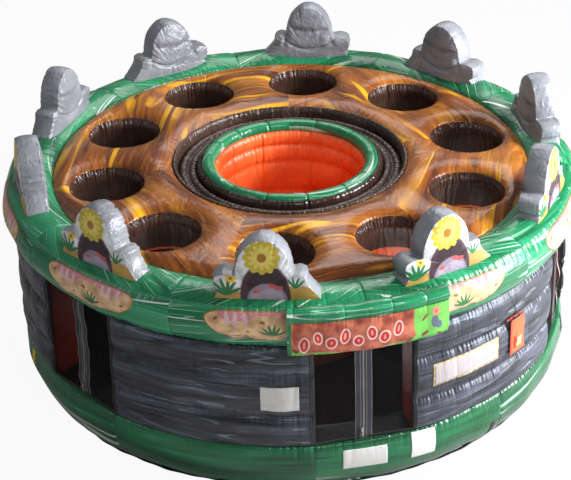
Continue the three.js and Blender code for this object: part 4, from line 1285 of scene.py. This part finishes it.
def jamb(number, side):
    """Binding, piping and lining at one end of a wall panel"""
    skin = wall_skins[number]
    door_number = number if side > 0 else (number + 1) % len(DOORS)
    edge = DOORS[door_number]

    def binding(near, far, lift):
        return lambda u, v: skin.at(edge + side * np.degrees(np.arcsin((near + (far - near) * u) / WALL)),
                                    0.6 + 51.0 * v, lift)

    def lining(u, v):
        """The doorway's side, behind the net"""
        puff = 0.0012 * np.abs(np.sin(u * 9)) * np.abs(np.sin(v * 14))
        return facing(edge, side * (LINING_HALF - puff), LINING_FRONT + LINING_DEEP * u,
                      LINING_FOOT + LINING_HIGH * v)

    name = f"jamb_{door_number + 1}_{'right' if side > 0 else 'left'}"
    patch(f"{name}_binding", binding(0.3752, 0.402, 0.0022), 4, 150, 0.003, black_vinyl, slot="grey_vinyl")
    patch(f"{name}_piping", binding(0.395, 0.3995, 0.0045), 1, 150, 0.002, grey_tape, slot="grey_vinyl")
    patch(f"{name}_lining", lining, 14, 30, 0.0008, jamb_vinyl, slot="orange_vinyl")


def sill(number):
    """Black cover on the base ring behind the net"""
    def place(u, v):
        x, inwards = SILL_HALF * (2 * u - 1), SILL_FRONT + SILL_DEEP * v
        ripple = 0.0012 * np.sin(x * 23 + number) * np.sin(inwards * 31)
        return facing(DOORS[number], x, inwards, SILL_TOP + ripple)
    patch(f"door_{number + 1}_sill", place, 60, 16, 0.0008, black_vinyl, slot="mat_vinyl")


for number in range(len(DOORS)):
    jamb(number, 1)
    jamb(number, -1)
for number in range(len(DOORS)):
    sill(number)

# Labels without print, tags, straps and a buckle, sewn or glued on


def label(name, skin, azimuths, places, slant, material, lift=0.002, slot="grey_vinyl", columns=40, rows=20,
          **more):
    """A patch on a skin between two azimuths and two places along its outline"""
    def place(u, v):
        azimuth = azimuths[0] + (azimuths[1] - azimuths[0]) * u
        return skin.at(azimuth, places[0] + (places[1] - places[0]) * v + slant * (u - 0.5), lift)
    return patch(name, place, columns, rows, 0.0012, material, slot=slot, **more)


green = {"slot": "green_vinyl"}
label("wall_label", wall_skins[0], (-6.7, 0.5), (20.3, 31.7), 0, white_vinyl)
label("wall_strip_edge", wall_skins[1], (26.8, 42.7), (21.4, 32.1), 0.2, border_print, columns=90,
      print_at=lambda u, v: (u * 0.62, v * 0.19))
label("wall_strip", wall_skins[1], (27.2, 42.3), (22.2, 31.3), 0.2, strip_vinyl, lift=0.0033, columns=90)
label("base_wide_label", base, (8.65, 17.4), (9.2, 15.9), -0.2, white_vinyl, **green)
label("base_tall_label", base, (22.4, 27.6), (8.6, 17.3), -0.3, white_vinyl, **green)
label("base_yellow_tag", base, (-71.6, -69.9), (11.6, 16.6), 0, yellow_vinyl, columns=8, rows=8, **green)
label("door_3_strap", base, (78.0, 79.3), (8.5, 17.2), 0.4, black_vinyl, columns=6, **green)
label("door_3_buckle", base, (77.5, 79.8), (12.2, 13.6), 0.2, black_vinyl, lift=0.007, columns=6, **green)
label("anchor_strap", base, (42.2, 43.5), (3.5, 9.0), 0, black_vinyl, columns=6, **green)

# Orange flap that hangs from a sewn strip on the right of the front

HANG = 48.5
FLAP_HALF, FLAP_LOW, FLAP_HIGH = 0.095, 0.752, 1.043
FLAP_PLANE, BULGE_RADIUS = -2.2345, 2.235


def on_flap(near, far, low, high, lift):
    """Places on the flap, which follows the wall's bulges or hangs straight, whichever is further out"""
    def at(u, v):
        x = near + (far - near) * u
        z = low + (high - low) * v
        share = (z - ROW_SEAMS[1]) / (ROW_SEAMS[2] - ROW_SEAMS[1])
        along = ROW_STARTS[1] + share * (ROW_STARTS[2] - ROW_STARTS[1])
        on_wall = wall_skins[1].at(HANG + np.degrees(x / BULGE_RADIUS), along, lift)
        curl = 0.006 * bump_at(x + FLAP_HALF, 0.02) + 0.005 * bump_at(z - 0.757, 0.02)
        straight = facing(HANG, x, FLAP_PLANE - lift - curl, z)
        bulged = np.hypot(*on_wall[:, :2].T) > np.hypot(*straight[:, :2].T)
        return np.where(bulged[:, None], on_wall, straight)
    return at


def on_hanging_flap(name, edges, columns, rows, thickness, material):
    """A piece of the flap"""
    return patch(name, on_flap(*edges), columns, rows, thickness, material, "hanging_flap", "orange_vinyl")


hung = on_hanging_flap("hanging_flap_skin", (-FLAP_HALF, FLAP_HALF, FLAP_LOW, FLAP_HIGH, 0.0015), 40, 50,
                       0.0025, hung_vinyl)
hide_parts("hanging_flap")
# A darker orange strip down the left edge: painted shade for the flap's left side, which faces away from the
# light
on_hanging_flap("hanging_flap_shaded_left_side", (-0.097, -0.062, FLAP_LOW, FLAP_HIGH, 0.005), 8, 50, 0.0025,
                dark_orange_vinyl)
on_hanging_flap("hanging_flap_foot_hem", (-FLAP_HALF, FLAP_HALF, FLAP_LOW, 0.783, 0.0045), 40, 8, 0.0025,
                hung_vinyl)
# A pale patch, painted highlight on the flap's lower fold, and a darker strip left of it, painted shade of
# the fold
on_hanging_flap("hanging_flap_painted_highlight", (-0.005, 0.06, 0.79, 0.87, 0.0045), 12, 12, 0.0015, highlight_orange_vinyl)
on_hanging_flap("hanging_flap_painted_fold_shade", (-0.03, -0.005, 0.79, 0.89, 0.006), 8, 12, 0.002,
                dark_orange_vinyl)
label("hanging_strip", wall_skins[1], (HANG - 2.6, HANG + 2.6), (35.6, 36.8), 0, dark_orange_vinyl, 0.006,
      "orange_vinyl")

# Fill sleeve behind the drum, tied on the blower's snout

BLOWER = 163.5
SLEEVE_HEIGHT, SLEEVE_ROUND, SLEEVE_LEAST, SLEEVE_BORE = 0.15, 0.107, 0.1052, 0.1045
SLEEVE_START, SLEEVE_END, SLEEVE_SEAM, SLEEVE_TIE = 2.13, 3.022, 2.16, 2.955
STRAP_ROUND, STRAP_START, STRAP_WIDTH = 0.1085, 2.945, 0.025


def fill_sleeve():
    """The sleeve from the base ring to the blower, gathered at its seam and at its tie"""
    around, rows = 120, 96
    length = np.linspace(SLEEVE_START, SLEEVE_END, rows)
    turns = np.linspace(0, 2 * math.pi, around, endpoint=False)
    folds = Folds(2 * math.pi * SLEEVE_ROUND, 0.030, 91)
    dice = np.random.default_rng(92)
    swell_out = sum(np.sin(length * dice.uniform(5, 14) + dice.uniform(0, 6)) for _ in range(4)) * 0.0025
    grid_l, grid_t = np.meshgrid(length, turns, indexing="ij")
    radius = 0.1095 + swell_out[:, None] + 0.0015 * np.sin(grid_t * 3 + grid_l * 7)
    radius = radius - 0.005 * folds.at(grid_t * SLEEVE_ROUND, np.abs(grid_l - SLEEVE_TIE), 0.10)
    radius = radius - 0.004 * folds.at(grid_t * SLEEVE_ROUND, np.abs(grid_l - SLEEVE_SEAM), 0.10)
    radius = radius - 0.006 * bump_at(grid_l - SLEEVE_TIE, 0.014)
    radius = np.concatenate([np.maximum(radius, SLEEVE_LEAST), np.full((2, around), SLEEVE_BORE)])
    out, turn = (np.concatenate([values, values[-1:], values[:1]]) for values in (grid_l, grid_t))
    piece = loft("fill_sleeve_skin", *np.moveaxis(
        facing(BLOWER, radius * np.cos(turn), -out, SLEEVE_HEIGHT + radius * np.sin(turn)), -1, 0))
    out, turn = out.T.ravel(), turn.T.ravel()
    flow_map(piece, "flow", lambda point, centre: (out[point], turn[point] * 0.1))
    settle(piece, green_vinyl, replaces=["fill_sleeve"])


def sleeve_tie(u, v):
    """The strap that ties the sleeve on the snout"""
    turn = u * 2 * math.pi
    return facing(BLOWER, STRAP_ROUND * np.cos(turn), -STRAP_START - STRAP_WIDTH * v,
                  SLEEVE_HEIGHT + STRAP_ROUND * np.sin(turn))


fill_sleeve()
patch("sleeve_strap", sleeve_tie, 90, 4, 0.002, black_vinyl, slot="green_vinyl")

# Sandy mounds printed on the ring's front under each rock

MOUND_WIDTH, MOUND_MIDDLE = 0.86, 15.8


def mound(name, azimuth, grow, lift, material, seed):
    """A mound with a lobed lower edge on the ring's front"""
    phase = np.random.default_rng(seed).uniform(0, 6.28, 3)

    def outline(u, v):
        """Metres across the mound, and steps along the ring's outline"""
        x = (u - 0.5) * (MOUND_WIDTH + 2 * grow)
        away = np.abs(2 * u - 1)
        lobes = 1.9 * np.abs(np.sin(11 * x + phase[0])) + 0.9 * np.abs(np.sin(23 * x + phase[1]))
        lower = (7.2 + grow * 45 + lobes * 0.8) * (1 - away ** 2.6) ** 0.55
        upper = (2.7 + grow * 45) * (1 - away ** 6) ** 0.5
        return x, MOUND_MIDDLE + np.where(v > 0.5, upper * (2 * v - 1), -lower * (1 - 2 * v))

    def place(u, v):
        x, along = outline(u, v)
        return top.at(azimuth + np.degrees(x / 2.27), along, lift)

    def print_at(u, v):
        x, along = outline(u, v)
        return x, (along - 8) * 0.019

    patch(name, place, 96, 16, 0.0012, material, slot="green_vinyl", print_at=print_at)


for number, angle in enumerate(HOLE_ANGLES):
    mound(f"mound_{number + 1}_outline", angle - 0.2, 0.010, 0.0016, mound_edge, 600 + number)
    mound(f"mound_{number + 1}_print", angle - 0.2, 0.0, 0.0030, mound_print, 600 + number)

# The banner's printed sheet, in the middle of the pad's face

SHEET_WIDTH, SHEET_HEIGHT = 1.198, 0.284


def on_banner(u, v):
    """Places on the banner pad's face"""
    lengths = banner.lengths[:BANNER_FACE + 1]
    along = np.interp(v * lengths[-1], lengths, np.arange(BANNER_FACE + 1))
    return banner.at(BANNER_START + 0.35 + 28.45 * u, np.clip(along, 0.8, 15.2), 0.0022)


sheet = patch("banner_sheet_skin", on_banner, 200, 40, 0.0014, banner_print, slot="banner_print",
              print_at=lambda u, v: (u * SHEET_WIDTH, v * SHEET_HEIGHT))
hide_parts("banner_sheet")

# CAD nodes that stay, with their own materials

looks = {"zip_slider": zinc, "blower_housing": blower_shell, "blower_fan": fan_black}
for name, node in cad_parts.items():
    look = looks.get("zip_slider" if name.endswith("zip_slider") else name)
    if look:
        node.data.materials.clear()
        node.data.materials.append(look)

# The black ground sheet's uneven edge


def ground_edge(u, v):
    """Places on the ground sheet, which shows unevenly round the base ring"""
    azimuth = u * 360 - 180
    angle = np.radians(azimuth)
    radius = 2.088 + v * (0.019 + 0.004 * np.sin(23 * angle) + 0.003 * np.sin(61 * angle))
    return np.stack([radius * np.sin(angle), -radius * np.cos(angle), 0.0035 - 0.002 * v], 1)


patch("ground_sheet_edge", ground_edge, 720, 3, 0.003, black_vinyl, slot="mat_vinyl")

# Light and stage: soft boxes high and low on the right, weaker ones in front, on the left and behind, a pale
# floor and white surroundings


def add_lamp(name, kind, place, power, colour="ffffff", **settings):
    """A lamp that faces the drum's middle, 1 m up"""
    data = bpy.data.lights.new(name, kind)
    data.color = linear(colour)[:3]
    data.energy = power
    for key, value in settings.items():
        setattr(data, key, value)
    lamp = bpy.data.objects.new(name, data)
    bpy.context.scene.collection.objects.link(lamp)
    lamp.location = place
    lamp.rotation_euler = (Vector((0, 0, 1)) - Vector(place)).to_track_quat("-Z", "Y").to_euler()


add_lamp("key_light", "AREA", (9.0, -1.5, 6.0), 1620, shape="SQUARE", size=3.6)
add_lamp("side_light", "AREA", (9.5, -2.6, 2.2), 960, "edf3ff", shape="SQUARE", size=3.0)
add_lamp("front_light", "AREA", (2.5, -9.0, 7.0), 190, shape="SQUARE", size=1.7)
add_lamp("left_light", "AREA", (-8.5, -4.0, 4.5), 55, "edf3ff", shape="SQUARE", size=3.0)
add_lamp("back_light", "AREA", (1.0, 6.0, 8.0), 270, shape="SQUARE", size=5.0)

# Weak lamps under the deck, for the daylight that comes in through the nets
for place, power in (((0.34, -1.55, 0.62), 8), ((-1.3, -1.1, 0.8), 2.5), ((1.75, -0.5, 0.9), 5),
                     ((0.78, -1.52, 0.95), 8)):
    add_lamp("inside_light", "POINT", place, power, shadow_soft_size=0.3)

world = bpy.data.worlds.new("white_studio")
bpy.context.scene.world = world
world.use_nodes = True
world.node_tree.nodes.clear()
rays = add_node(world.node_tree, "ShaderNodeLightPath")
sky_strength = add_node(world.node_tree, "ShaderNodeMapRange", {"To Min": 0.22, "To Max": 1.0},
                        {"Value": rays.outputs["Is Camera Ray"]})
sky = add_node(world.node_tree, "ShaderNodeBackground", {"Color": "ffffff"},
               {"Strength": sky_strength.outputs["Result"]})
add_node(world.node_tree, "ShaderNodeOutputWorld", links={"Surface": sky.outputs["Background"]})

floor = started("studio_floor", bpy.ops.mesh.primitive_plane_add, size=120, location=(0, 0, -0.001))
floor_material = bpy.data.materials.new("pale_floor")
floor_material.use_nodes = True
floor_tree = floor_material.node_tree
floor_tree.nodes.clear()
floor_rays = add_node(floor_tree, "ShaderNodeLightPath")
matt = add_node(floor_tree, "ShaderNodeBsdfDiffuse", {"Color": "c9c7c4"})
glow = add_node(floor_tree, "ShaderNodeEmission", {"Color": "ffffff", "Strength": 1.0})
white_share = add_node(floor_tree, "ShaderNodeMath", {1: 0.94}, {0: floor_rays.outputs["Is Camera Ray"]},
                       operation="MULTIPLY")
floor_mix = add_node(floor_tree, "ShaderNodeMixShader", links={0: white_share.outputs[0], 1: matt.outputs[0],
                                                               2: glow.outputs[0]})
add_node(floor_tree, "ShaderNodeOutputMaterial", links={"Surface": floor_mix.outputs[0]})
floor.data.materials.append(floor_material)
